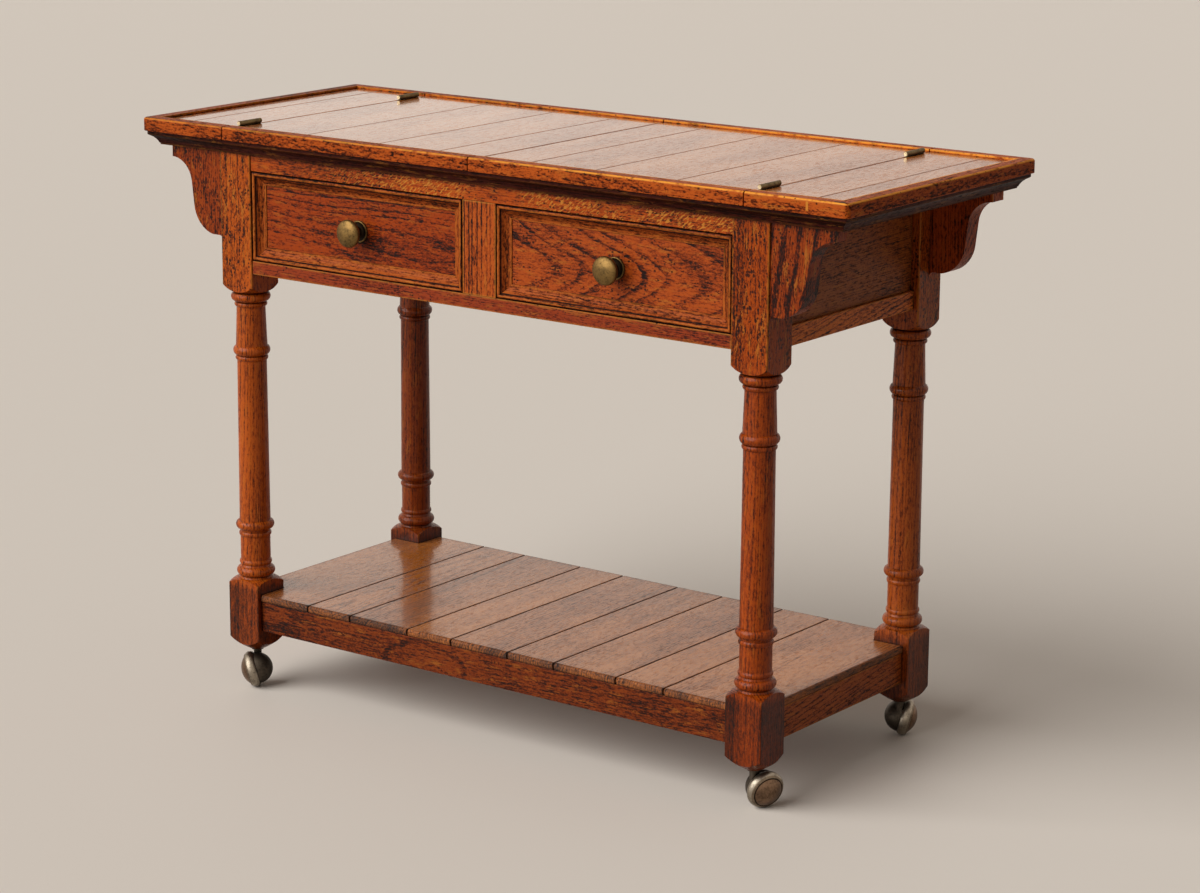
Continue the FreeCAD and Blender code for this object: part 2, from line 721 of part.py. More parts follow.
def shelf():
    """A frame of rails between the legs' blocks, and loose planks laid across it."""
    low = f"({SHELF_TOP} - shelf_plank_thickness)"
    height = (f"{low} - shelf_rail_height", low)
    plank_y = f"({POST_FACE_Y} - shelf_front_setback)"
    plank_x = f"({POST_FACE_X} - shelf_end_setback)"
    rail_y = f"({plank_y} - shelf_rail_setback)"
    rail_x = f"({plank_x} - shelf_rail_setback)"
    between = both_ways(POST_INNER_X)
    for word, side in (("front", FRONT), ("back", BACK)):
        across = on_side(side, f"{rail_y} - rail_thickness", rail_y)
        keep(f"shelf_rail_{word}", board(f"shelf_rail_{word}", between, across, height))
    ends = [board("shelf_end_rail", on_side(side, f"{rail_x} - rail_thickness", rail_x),
                  both_ways(POST_INNER_Y), height) for side in (LEFT, RIGHT)]
    keep("shelf_rail_ends", group("shelf_rail_ends", ends))

    notch_x = f"({POST_INNER_X} - shelf_notch_gap)"
    notch_y = f"({POST_INNER_Y} - shelf_notch_gap)"
    joints = [f"({share} * {POST_INNER_X})" for share in SHELF_JOINT_SHARES]
    laid = []
    for start, finish in zip(joints, joints[1:]):
        near, far = f"{start} + shelf_gap / 2", f"{finish} - shelf_gap / 2"
        laid.append([(near, f"-{plank_y}"), (far, f"-{plank_y}"), (far, plank_y), (near, plank_y)])
    for side, joint in ((LEFT, joints[0]), (RIGHT, joints[-1])):
        near = f"{joint} + {side} * shelf_gap / 2"
        laid.append([
            (near, f"-{plank_y}"),
            (f"{side} * {notch_x}", f"-{plank_y}"),
            (f"{side} * {notch_x}", f"-{notch_y}"),
            (f"{side} * {plank_x}", f"-{notch_y}"),
            (f"{side} * {plank_x}", notch_y),
            (f"{side} * {notch_x}", notch_y),
            (f"{side} * {notch_x}", plank_y),
            (near, plank_y),
        ])
    nosing_y = size(f"{plank_y} - shelf_nosing_round")
    nosing_x = size(f"{plank_x} - shelf_nosing_round")

    def on_nosing(edge):
        box = edge.BoundBox
        level = box.ZLength < size("shelf_nosing_round")
        return level and (min(abs(box.YMin), abs(box.YMax)) > nosing_y and box.YMin * box.YMax > 0
                          or min(abs(box.XMin), abs(box.XMax)) > nosing_x)

    pieces = []
    for outline in laid:
        piece = padded("shelf_plank", "XY", outline, "shelf_plank_thickness", symmetric=False)
        soften(piece, "shelf_nosing_round", on_nosing)
        pieces.append(place(piece, z=low))
    keep("shelf_planks", group("shelf_planks", pieces))


def drawer_moulding(name, x):
    """Four mitred strips that frame a drawer front: a bead, a groove and a cove down to the panel."""
    height = "(drawer_panel_recess - rail_setback)"
    shoulder = f"{height} - moulding_shoulder_drop"
    groove_start = "moulding_bead_width"
    groove_end = "moulding_bead_width + moulding_groove_width"
    groove_floor = f"{height} - moulding_groove_depth"
    section = [
        ("moulding_width", "0"),
        ("0", "0"),
        ("0", shoulder),
        (groove_start, shoulder, "moulding_bead_radius", -1),
        (groove_start, groove_floor),
        (groove_end, groove_floor),
        ("moulding_width - moulding_lip_width", "moulding_lip_height", "moulding_cove_radius", 1),
        ("moulding_width", "moulding_lip_height"),
    ]
    half_width = f"({DRAWER_HALF} - drawer_gap)"
    half_height = f"(({OPENING_HIGH} - {OPENING_LOW}) / 2 - drawer_gap)"
    strips = []
    for word, degrees in (("bottom", 0), ("left", 90), ("top", 180), ("right", 270)):
        reach, run = (half_height, half_width) if degrees % 180 == 0 else (half_width, half_height)
        strip = mitred_strip(f"{name}_{word}", section, reach, run, "moulding_width")
        strips.append(place(strip, x, f"-{DRAWER_PANEL}", OPENING_MIDDLE, about("Y", degrees) * about("X", 90)))
    keep(name, group(name, strips))


def drawer_box(name, x):
    """Front board, two grooved sides, a back that stands on the bottom, and the bottom."""
    half = f"({DRAWER_HALF} - drawer_gap)"
    low = f"({OPENING_LOW} + drawer_gap)"
    high = f"({OPENING_HIGH} - drawer_gap)"
    front_outline = [(f"-{half}", low), (half, low), (half, high), (f"-{half}", high)]
    bolt_hole = ("0", f"{OPENING_MIDDLE} - knob_drop", "bolt_radius + bolt_hole_gap")
    front = padded(f"{name}_front", "XZ", front_outline, "drawer_front_thickness", holes=[bolt_hole])
    keep(f"{name}_front", place(front, x, f"drawer_front_thickness / 2 - {DRAWER_PANEL}"))

    foot = f"({OPENING_LOW} + drawer_seat_gap)"
    bottom_low = f"({foot} + drawer_bottom_lift)"
    bottom_high = f"({bottom_low} + drawer_bottom_thickness)"
    box_top = f"({OPENING_HIGH} - drawer_side_clearance)"
    outer = f"({DRAWER_HALF} - drawer_side_gap)"
    inner = f"({outer} - drawer_side_thickness)"
    grooved = f"({inner} + drawer_groove_depth)"
    side_section = [
        (outer, foot),
        (outer, box_top),
        (inner, box_top),
        (inner, bottom_high),
        (grooved, bottom_high),
        (grooved, bottom_low),
        (inner, bottom_low),
        (inner, foot),
    ]
    middle_y = f"{DRAWER_DEPTH} / 2 - {DRAWER_INNER}"
    sides = []
    for side in (LEFT, RIGHT):
        body = padded(f"{name}_side", "XZ", side_section, DRAWER_DEPTH)
        sides.append(place(body, x, middle_y, turn=about("Z", 90 - 90 * side)))
    back_x = (f"{x} - {inner}", f"{x} + {inner}")
    back_y = (f"{DRAWER_REAR} - drawer_side_thickness", DRAWER_REAR)
    back = board(f"{name}_back", back_x, back_y, (bottom_high, box_top))
    keep(f"{name}_box", group(f"{name}_box", sides + [back]))
    bottom_x = (f"{x} - {grooved}", f"{x} + {grooved}")
    bottom = board(f"{name}_bottom", bottom_x, (f"-{DRAWER_INNER}", DRAWER_REAR), (bottom_low, bottom_high))
    keep(f"{name}_bottom", bottom)


def drawer_knob(name, x):
    """A domed brass knob on a dished backplate, held by a bolt from inside the drawer."""
    hole = "(bolt_radius + bolt_hole_gap)"
    rim_inside = "backplate_radius - backplate_rim_width"
    backplate = turned(f"{name}_backplate", "XY", [
        (hole, "0"),
        ("backplate_radius", "0"),
        ("backplate_radius", "backplate_dish"),
        (rim_inside, "backplate_dish", "backplate_bead_radius", 1),
        ("backplate_boss_radius", "backplate_dish"),
        ("backplate_boss_radius", "backplate_thickness"),
        (hole, "backplate_thickness"),
    ], "V_Axis")
    thread = "(bolt_radius + bolt_thread_gap)"
    seat = "backplate_thickness"
    dome_low = "(knob_projection - knob_dome_rise)"
    rim_low = f"({dome_low} - knob_rim_thickness)"
    knob = turned(f"{name}_knob", "XY", [
        ("0", f"{seat} + bolt_thread_depth"),
        (thread, f"{seat} + bolt_thread_depth"),
        (thread, seat),
        ("knob_base_radius", seat),
        ("knob_base_radius", f"{seat} + knob_base_height"),
        ("knob_neck_radius", "knob_neck_height", "knob_foot_curve", -1),
        ("knob_radius - knob_rim_slope", f"{rim_low} - knob_rim_slope", "knob_throat_curve", -1),
        ("knob_radius", rim_low),
        ("knob_radius", dome_low),
        ("0", "knob_projection", "(knob_radius^2 + knob_dome_rise^2) / (2 * knob_dome_rise)", 1),
    ], "V_Axis")
    inside = "(-drawer_front_thickness)"
    bolt = turned(f"{name}_knob_bolt", "XY", [
        ("0", f"{inside} - bolt_head_height"),
        ("bolt_head_radius", f"{inside} - bolt_head_height"),
        ("bolt_head_radius", inside),
        ("bolt_radius", inside),
        ("bolt_radius", f"{seat} + bolt_thread_depth - bolt_thread_gap"),
        ("0", f"{seat} + bolt_thread_depth - bolt_thread_gap"),
    ], "V_Axis")
    height = f"{OPENING_MIDDLE} - knob_drop"
    for word, piece in (("backplate", backplate), ("knob", knob), ("knob_bolt", bolt)):
        keep(f"{name}_{word}", place(piece, x, f"-{DRAWER_PANEL}", height, about("Z", 180)))


def drawers():
    """Two drawers, one each side of the stile."""
    for word, side in (("left", LEFT), ("right", RIGHT)):
        x = f"{side} * {DRAWER_X}"
        drawer_box(f"drawer_{word}", x)
        drawer_moulding(f"drawer_{word}_moulding", x)
        drawer_knob(f"drawer_{word}", x)


def rod(name, x, start, finish, radius):
    """A round bar along Y on the hinge axis, between two places."""
    piece = doc.addObject("Part::Cylinder", name)
    bind(piece, "Radius", radius)
    bind(piece, "Height", f"({finish}) - ({start})")
    return place(piece, x, start, HINGE_HEIGHT, about("X", -90))


def hinge_half(name, side, y, knuckles, plate_side):
    """A hinge plate with its knuckles. The plate stands in the joint and screws to a board's edge."""
    x = f"{side} * {HINGE_LINE}"
    half = "hinge_length / 2"
    outer = "leaf_joint / 2"
    near = f"{HINGE_LINE} + {plate_side} * ({outer} - hinge_plate_thickness)"
    far = f"{HINGE_LINE} + {plate_side} * {outer}"
    across = on_side(side, *((near, far) if plate_side > 0 else (far, near)))
    foot = f"{DECK_TOP} + hinge_plate_lift"
    clear = f"{HINGE_HEIGHT} - knuckle_radius - knuckle_gap"
    solids = [board(f"{name}_plate", across, (f"{y} - {half}", f"{y} + {half}"), (foot, clear))]
    for start, finish in knuckles:
        span = (f"{y} + {start}", f"{y} + {finish}")
        tongue_top = f"{HINGE_HEIGHT} - knuckle_radius + hinge_tongue_sink"
        solids.append(board(f"{name}_tongue", across, span, (foot, tongue_top)))
        solids.append(rod(f"{name}_knuckle", x, *span, "knuckle_radius"))
    whole = doc.addObject("Part::MultiFuse", f"{name}_blank")
    whole.Shapes = solids
    half_hinge = doc.addObject("Part::Cut", name)
    half_hinge.Base = whole
    bore_span = (f"{y} - {half} - cut_overrun", f"{y} + {half} + cut_overrun")
    half_hinge.Tool = rod(f"{name}_bore", x, *bore_span, "hinge_pin_radius + hinge_pin_gap")
    return half_hinge


def hinge_pin(name, side, y):
    """A pin through the three knuckles, with a thin disc head at each end."""
    x = f"{side} * {HINGE_LINE}"
    half = "hinge_length / 2"
    pieces = [rod(f"{name}_shank", x, f"{y} - {half}", f"{y} + {half}", "hinge_pin_radius")]
    for start, finish in ((f"{y} - {half} - hinge_pin_head_height", f"{y} - {half}"),
                          (f"{y} + {half}", f"{y} + {half} + hinge_pin_head_height")):
        pieces.append(rod(f"{name}_head", x, start, finish, "hinge_pin_head_radius"))
    pin = doc.addObject("Part::MultiFuse", name)
    pin.Shapes = pieces
    return pin


def hinges():
    """Four three-knuckle hinges: the outer knuckles belong to the fixed ends, the middle to the leaf."""
    knuckle = "(hinge_length - 2 * knuckle_gap) / 3"
    middle = [(f"-{knuckle} / 2", f"{knuckle} / 2")]
    outer = [("-hinge_length / 2", f"{knuckle} - hinge_length / 2"),
             (f"hinge_length / 2 - {knuckle}", "hinge_length / 2")]
    fixed, pins = [], []
    for word, side in (("left", LEFT), ("right", RIGHT)):
        moving = []
        for depth_side in (FRONT, BACK):
            y = f"{depth_side} * {HINGE_PLACE}"
            fixed.append(hinge_half(f"hinge_fixed_{word}", side, y, outer, 1))
            moving.append(hinge_half(f"hinge_moving_{word}", side, y, middle, -1))
            pins.append(hinge_pin(f"hinge_pin_{word}", side, y))
        keep(f"leaf_{word}_hinges", group(f"leaf_{word}_hinges", moving))
    keep("hinge_plates_fixed", group("hinge_plates_fixed", fixed))
    keep("hinge_pins", group("hinge_pins", pins))


def caster_socket(name, x, y):
    """A flanged sleeve pressed into a leg's foot, which the caster's stem turns in."""
    bore = "stem_radius + socket_gap"
    wall = f"{bore} + socket_wall"
    flange = f"{POST_FOOT} - socket_flange_thickness"
    outline = [
        (bore, flange),
        ("socket_flange_radius", flange),
        ("socket_flange_radius", POST_FOOT),
        (wall, POST_FOOT),
        (wall, f"{POST_FOOT} + socket_depth"),
        (bore, f"{POST_FOOT} + socket_depth"),
    ]
    return place(turned(name, "XZ", outline, "V_Axis"), x, y)


WHEEL_HALF = "(wheel_width / 2)"
HOOD_MOUTH = f"(-{WHEEL_HALF} - hood_gap)"
WHEEL_HEIGHT = "((wheel_radius - wheel_crown_radius) * cos(wheel_tilt) + wheel_crown_radius)"


def caster_stem(name):
    """The caster's neck and the stem above it. The neck ends on the outside of the hood."""
    neck_foot = f"{WHEEL_HEIGHT} + neck_rise"
    top_of_neck = f"({POST_FOOT} - socket_flange_thickness - neck_gap)"
    top_of_stem = f"({top_of_neck} + stem_length)"
    outline = [
        ("0", neck_foot),
        ("neck_radius", neck_foot),
        ("neck_radius", top_of_neck),
        ("stem_radius", top_of_neck),
        ("stem_radius", f"{top_of_stem} - stem_chamfer"),
        ("stem_radius - stem_chamfer", top_of_stem),
        ("0", top_of_stem),
    ]
    return turned(name, "XZ", outline, "V_Axis")


def caster_shell(name):
    """Half a hollow ball, open towards the wheel, with a boss inside for the axle."""
    inside = "(hood_radius - hood_wall)"
    shell = turned(name, "XY", [
        (HOOD_MOUTH, "0"),
        (HOOD_MOUTH, "hood_radius"),
        (f"{HOOD_MOUTH} - hood_radius", "0", "hood_radius", 1),
    ], "H_Axis")
    boss_end = f"{HOOD_MOUTH} - sqrt({inside}^2 - hood_boss_radius^2)"
    hollow = [
        (f"{HOOD_MOUTH} + cut_overrun", "hood_boss_radius"),
        (f"{HOOD_MOUTH} + cut_overrun", inside),
        (HOOD_MOUTH, inside),
        (boss_end, "hood_boss_radius", inside, 1),
    ]
    axle_hole = [
        (f"{HOOD_MOUTH} + cut_overrun", "0"),
        (f"{HOOD_MOUTH} + cut_overrun", "axle_radius + wheel_bore_gap"),
        (f"{HOOD_MOUTH} - axle_depth", "axle_radius + wheel_bore_gap"),
        (f"{HOOD_MOUTH} - axle_depth", "0"),
    ]
    groove(shell, "XY", [hollow], "H_Axis")
    groove(shell, "XY", [axle_hole], "H_Axis")
    return shell


def caster_wheel(name):
    """A crowned tread, and a hub whose outer side is domed."""
    tread_inner = "(wheel_radius - tread_depth)"
    edge = f"wheel_radius - wheel_crown_radius + sqrt(wheel_crown_radius^2 - {WHEEL_HALF}^2)"
    tread = turned(f"{name}_tread", "XY", [
        (f"-{WHEEL_HALF}", tread_inner),
        (WHEEL_HALF, tread_inner),
        (WHEEL_HALF, edge),
        (f"-{WHEEL_HALF}", edge, "wheel_crown_radius", 1),
    ], "H_Axis")
    hub_radius = f"{tread_inner} - tread_fit_gap"
    bore = "axle_radius + wheel_bore_gap"
    bore_end = f"{WHEEL_HALF} + axle_reach"
    hub = turned(f"{name}_hub", "XY", [
        (bore_end, "0"),
        (f"{WHEEL_HALF} + cap_rise", "0"),
        (WHEEL_HALF, "cap_radius", "(cap_radius^2 + cap_rise^2) / (2 * cap_rise)", 1),
        (WHEEL_HALF, hub_radius),
        (f"-{WHEEL_HALF}", hub_radius),
        (f"-{WHEEL_HALF}", bore),
        (bore_end, bore),
    ], "H_Axis")
    return [tread, hub]


def caster_axle(name):
    """A plain pin, fixed in the hood's boss, that the wheel turns on."""
    start = f"{HOOD_MOUTH} - axle_depth"
    finish = f"{WHEEL_HALF} + axle_reach - axle_end_gap"
    return turned(name, "XY", [
        (start, "0"),
        (finish, "0"),
        (finish, "axle_radius - axle_chamfer"),
        (f"{finish} - axle_chamfer", "axle_radius"),
        (f"{start} + axle_chamfer", "axle_radius"),
        (start, "axle_radius - axle_chamfer"),
    ], "H_Axis")


def caster_hood(name):
    """The shell and its neck, about the swivel axis. The neck ends inside the shell's wall."""
    axle_x, axle_y = "caster_offset", "caster_trail"
    to_mouth = f"({HOOD_MOUTH} * cos(wheel_tilt))"
    within_wall = doc.addObject("Part::Sphere", f"{name}_within_wall")
    bind(within_wall, "Radius", "hood_radius - hood_wall / 2")
    place(within_wall, f"{axle_x} + {to_mouth}", axle_y, f"{WHEEL_HEIGHT} - {HOOD_MOUTH} * sin(wheel_tilt)")
    neck = doc.addObject("Part::Cut", f"{name}_neck")
    neck.Base = caster_stem(f"{name}_stem")
    neck.Tool = within_wall
    shell = place(caster_shell(f"{name}_shell"), axle_x, axle_y, WHEEL_HEIGHT, about("Y", size("wheel_tilt")))
    hood = doc.addObject("Part::MultiFuse", name)
    hood.Shapes = [shell, neck]
    return hood


def caster(corner, side, depth_side):
    """One caster: hood and stem, axle, and wheel, turned to the angle that it stands at."""
    name = f"caster_{corner}"
    angle = f"caster_angle_{corner}"
    post = (f"{side} * {POST_X}", f"{depth_side} * {POST_Y}")
    swivel = about("Z", size(angle))
    keep(f"{name}_hood", place(caster_hood(f"{name}_hood"), *post, turn=swivel))
    wheel_x = f"{post[0]} + caster_offset * cos({angle}) - caster_trail * sin({angle})"
    wheel_y = f"{post[1]} + caster_offset * sin({angle}) + caster_trail * cos({angle})"
    on_axle = (wheel_x, wheel_y, WHEEL_HEIGHT, swivel * about("Y", size("wheel_tilt")))
    keep(f"{name}_axle", place(caster_axle(f"{name}_axle"), *on_axle))
    wheel = [place(piece, *on_axle) for piece in caster_wheel(f"{name}_wheel")]
    keep(f"{name}_wheel", group(f"{name}_wheel", wheel))
    return caster_socket(f"{name}_socket", *post)


def casters():
    """Four casters and the sleeves that hold their stems."""
    sockets = []
    for depth_word, depth_side in (("front", FRONT), ("back", BACK)):
        for word, side in (("left", LEFT), ("right", RIGHT)):
            sockets.append(caster(f"{depth_word}_{word}", side, depth_side))
    keep("caster_sockets", group("caster_sockets", sockets))


def write_parts():
    """Checks every object and writes each sub-part to its own file."""
    doc.recompute()
    for item in doc.Objects:
        if "Invalid" in item.State or "Error" in item.State:
            raise RuntimeError(f"{item.Name} failed: {item.State}")
    os.makedirs("parts", exist_ok=True)
    for node in nodes:
        shape = node.Shape
        if shape.isNull() or not shape.isValid():
            raise RuntimeError(f"{node.Label} has no valid shape")
        shape.exportStep(f"parts/{node.Label}.step")
        box = shape.optimalBoundingBox(False)
        print(f"{node.Label}: {len(shape.Solids)} solid(s), {shape.Volume / 1000:.1f} cm3, "
              f"x {box.XMin:.1f} {box.XMax:.1f}, y {box.YMin:.1f} {box.YMax:.1f}, z {box.ZMin:.1f} {box.ZMax:.1f}")
    print(f"{len(nodes)} nodes")


top()
deck_and_cornice()
legs_and_corbels()
case()
shelf()
drawers()
hinges()
casters()
write_parts()
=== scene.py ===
import json
import math

import bpy
from mathutils import Matrix, Vector

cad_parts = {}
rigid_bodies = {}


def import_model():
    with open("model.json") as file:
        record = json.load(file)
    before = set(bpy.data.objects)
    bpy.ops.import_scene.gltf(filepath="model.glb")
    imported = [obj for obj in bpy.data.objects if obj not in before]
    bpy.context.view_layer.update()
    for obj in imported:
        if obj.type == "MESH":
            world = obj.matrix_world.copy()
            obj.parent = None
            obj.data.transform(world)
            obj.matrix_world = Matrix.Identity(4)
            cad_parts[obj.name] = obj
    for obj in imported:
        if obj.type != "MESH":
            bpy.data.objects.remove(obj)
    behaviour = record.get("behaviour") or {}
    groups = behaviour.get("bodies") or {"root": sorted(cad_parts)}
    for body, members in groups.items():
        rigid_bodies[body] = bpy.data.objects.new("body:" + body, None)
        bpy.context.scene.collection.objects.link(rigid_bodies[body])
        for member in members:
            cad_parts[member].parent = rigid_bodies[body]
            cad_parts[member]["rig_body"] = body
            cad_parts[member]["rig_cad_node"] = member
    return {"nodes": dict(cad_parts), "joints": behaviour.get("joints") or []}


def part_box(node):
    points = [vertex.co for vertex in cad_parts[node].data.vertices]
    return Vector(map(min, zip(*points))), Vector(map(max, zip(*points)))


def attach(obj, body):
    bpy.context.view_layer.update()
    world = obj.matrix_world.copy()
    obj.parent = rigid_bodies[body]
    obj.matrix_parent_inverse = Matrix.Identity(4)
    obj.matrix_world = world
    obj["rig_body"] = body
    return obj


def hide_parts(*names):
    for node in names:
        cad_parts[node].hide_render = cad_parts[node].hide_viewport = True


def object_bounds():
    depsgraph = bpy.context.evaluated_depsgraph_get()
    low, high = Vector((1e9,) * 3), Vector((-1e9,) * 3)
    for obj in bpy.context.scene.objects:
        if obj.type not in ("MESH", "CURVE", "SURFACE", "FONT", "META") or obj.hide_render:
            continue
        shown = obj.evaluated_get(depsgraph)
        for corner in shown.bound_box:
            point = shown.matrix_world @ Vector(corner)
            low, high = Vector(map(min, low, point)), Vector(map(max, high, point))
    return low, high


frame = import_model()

cad_low, cad_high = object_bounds()
nodes = frame["nodes"]


# Camera: the trolley is seen from in front of its right end, from about the height
# of a photographer's chest, through a long lens that keeps its edges nearly parallel.
camera_place = Vector((2.6032, -3.4481, 1.4298))
camera_heading = math.radians(36.555)
camera_tilt = math.radians(90 - 13.769)
camera_roll = math.radians(0.353)
sensor_width_mm = 36
lens_mm = 99.24
bpy.ops.object.select_all(action="DESELECT")
bpy.ops.object.camera_add()
camera = bpy.context.active_object
camera.data.sensor_width = sensor_width_mm
camera.data.lens = lens_mm
camera.matrix_world = (
    Matrix.Translation(camera_place)
    @ Matrix.Rotation(camera_heading, 4, "Z")
    @ Matrix.Rotation(camera_tilt, 4, "X")
    @ Matrix.Rotation(camera_roll, 4, "Z")
)
bpy.context.scene.camera = camera
bpy.context.scene.view_settings.view_transform = "Standard"


# Floor and room: a plain pale floor that runs to the horizon, one wide soft lamp from the front
# left, and an even pale room, which shows in the varnish and the brass.
def hue(code, share=1.0):
    """A colour written as red, green and blue in hexadecimal, or a share of its light."""
    levels = [int(code[start:start + 2], 16) / 255 for start in (0, 2, 4)]
    linear = [level / 12.92 if level < 0.04045 else ((level + 0.055) / 1.055) ** 2.4 for level in levels]
    return tuple(level * share for level in linear) + (1,)


class Socket:
    """An output in a material's nodes. Arithmetic on it adds Math nodes."""

    def __init__(self, tree, link):
        self.tree = tree
        self.link = link

    def node(self, kind, settings, sockets, output=0):
        """Adds a node: first its settings, then the values or links of its sockets."""
        made = self.tree.nodes.new(kind)
        for name, value in settings.items():
            if name == "stops":
                while len(made.color_ramp.elements) < len(value):
                    made.color_ramp.elements.new(1.0)
                for stop, (position, colour) in zip(made.color_ramp.elements, value):
                    stop.position = position
                    stop.color = colour
            else:
                setattr(made, name, value)
        for name, value in sockets.items():
            if isinstance(value, Socket):
                self.tree.links.new(value.link, made.inputs[name])
            else:
                made.inputs[name].default_value = value
        return Socket(self.tree, made.outputs[output])

    def maths(self, operation, *values):
        return self.node("ShaderNodeMath", {"operation": operation}, dict(enumerate(values)))

    def __add__(self, other):
        return self.maths("ADD", self, other)

    def __radd__(self, other):
        return self.maths("ADD", other, self)

    def __sub__(self, other):
        return self.maths("SUBTRACT", self, other)

    def __rsub__(self, other):
        return self.maths("SUBTRACT", other, self)

    def __mul__(self, other):
        return self.maths("MULTIPLY", self, other)

    def __rmul__(self, other):
        return self.maths("MULTIPLY", other, self)

    def __truediv__(self, other):
        return self.maths("DIVIDE", self, other)

    def __abs__(self):
        return self.maths("ABSOLUTE", self)

    def __gt__(self, other):
        return self.maths("GREATER_THAN", self, other)

    def __lt__(self, other):
        return self.maths("LESS_THAN", self, other)

    def least(self, other):
        return self.maths("MINIMUM", self, other)

    def most(self, other):
        return self.maths("MAXIMUM", self, other)

    def root(self):
        return self.maths("SQRT", self)

    def fraction(self):
        return self.maths("FRACT", self)

    def smooth(self, low, high):
        """0 below low and 1 above high, with a soft step between them. It falls where low is above high."""
        if low > high:
            return 1 - self.smooth(high, low)
        settings = {"interpolation_type": "SMOOTHSTEP"}
        return self.node("ShaderNodeMapRange", settings, {"Value": self, "From Min": low, "From Max": high})

    def between(self, first, second):
        """The colour first where this is 0 and second where it is 1."""
        return self.node("ShaderNodeMix", {"data_type": "RGBA"}, {0: self, 6: first, 7: second}, 2)


floor_hue = hue("e6ddd2")
floor_bounce_hue = hue("93867a")
floor_radius = 60
floor_sides = 128
floor_roughness = 0.6
floor_shine = 0.2
room_hue = hue("f5eadf")
room_fill = 0.2
key_strength = 3.35
key_spread = math.radians(60)
key_direction = Vector((-0.5, -1.0, 0.68))
bpy.ops.object.select_all(action="DESELECT")
bpy.ops.mesh.primitive_circle_add(vertices=floor_sides, radius=floor_radius, fill_type="NGON")
floor = bpy.context.active_object
floor.name = "floor"


def seen_directly(tree):
    """1 for what is looked at, straight, in a gloss or through glass, and 0 for the light it spreads."""
    rays = tree.nodes.new("ShaderNodeLightPath").outputs
    straight = Socket(tree, rays["Is Camera Ray"])
    in_gloss = Socket(tree, rays["Is Glossy Ray"])
    through_glass = Socket(tree, rays["Is Transmission Ray"])
    return straight.most(in_gloss).most(through_glass)


floor_paint = bpy.data.materials.new("floor_paint")
floor_paint.use_nodes = True
floor_shader = floor_paint.node_tree.nodes["Principled BSDF"]
floor_shader.inputs["Roughness"].default_value = floor_roughness
floor_shader.inputs["Specular IOR Level"].default_value = floor_shine
floor_colour = seen_directly(floor_paint.node_tree).between(floor_bounce_hue, floor_hue)
floor_paint.node_tree.links.new(floor_colour.link, floor_shader.inputs["Base Color"])
floor.data.materials.append(floor_paint)

bpy.ops.object.light_add(type="SUN", rotation=key_direction.to_track_quat("Z", "Y").to_euler())
key = bpy.context.active_object
key.data.energy = key_strength
key.data.angle = key_spread

room = bpy.data.worlds.new("room")
bpy.context.scene.world = room
room.use_nodes = True
room_glow = room.node_tree.nodes["Background"]
room_glow.inputs["Color"].default_value = room_hue
room_level = room_fill + (1 - room_fill) * seen_directly(room.node_tree)
room.node_tree.links.new(room_level.link, room_glow.inputs["Strength"])


# Legs: each turned from a square oak blank, and left square where the case and the shelf are
# joined to it. Oak stained reddish brown, distressed with specks and rubbed arrises, and varnished.
# Rubbed oak for worn arrises, rubbed patches and flecks. Above its own brightness it is a painted highlight.
rubbed_oak_and_highlight = "c8812f"
# The darkest grain and the specks, and also the painted shade in creases and corners.
dark_wax_and_shade = "170906"
wood_relief = 0.00012


def start_finish(name):
    """A new material, and the three coordinates of a point of the piece in it."""
    material = bpy.data.materials.new(name)
    material.use_nodes = True
    material.node_tree.nodes.clear()
    place = Socket(material.node_tree, material.node_tree.nodes.new("ShaderNodeTexCoord").outputs["Object"])
    parts = place.node("ShaderNodeSeparateXYZ", {}, {0: place}).link.node.outputs
    return material, [Socket(material.node_tree, part) for part in parts]


def noise(x, y, z, detail=2.0, rough=0.5):
    """Cloudy noise from 0 to 1 at a place given in the noise's own units."""
    vector = x.node("ShaderNodeCombineXYZ", {}, {0: x, 1: y, 2: z})
    sockets = {"Vector": vector, "Scale": 1.0, "Detail": detail, "Roughness": rough}
    return vector.node("ShaderNodeTexNoise", {}, sockets)


def figure(wood, along_grain, across_grain, detail=2.0, rough=0.5):
    """Noise drawn out along the grain. Its two scales are clouds per metre along the grain and across it."""
    along, across, depth = wood
    return noise(along * along_grain, across * across_grain, depth * across_grain, detail, rough)


def finish_surface(material, surface_sockets, height, relief):
    """Puts the shader on a material, with its relief from a height map."""
    bump = height.node("ShaderNodeBump", {}, {"Height": height, "Strength": 1.0, "Distance": relief})
    shader = height.node("ShaderNodeBsdfPrincipled", {}, dict(surface_sockets, Normal=bump))
    output = material.node_tree.nodes.new("ShaderNodeOutputMaterial")
    material.node_tree.links.new(shader.link, output.inputs["Surface"])
    return material


def near_arris(coordinates, planes):
    """How far a point on a board's surface lies from the nearest arris, in metres."""
    gaps = []
    for coordinate, faces in zip(coordinates, planes):
        gap = abs(coordinate - faces[0])
        for face in faces[1:]:
            gap = gap.least(abs(coordinate - face))
        gaps.append(gap)
    first, second, third = gaps
    return first.least(second).most(first.most(second).least(third))


def creases(coordinate, reach, only_local):
    """1 deep in a crease or a corner, where the surroundings close in, and 0 on open faces. Oak is darkened
    by it as painted shade, and metal as patina. Other pieces make creases too, unless only_local is set."""
    settings = {"samples": 4, "only_local": only_local}
    openness = coordinate.node("ShaderNodeAmbientOcclusion", settings, {"Distance": reach}, 1)
    open_face = 0.85
    deep_corner = 0.35
    return openness.smooth(open_face, deep_corner)


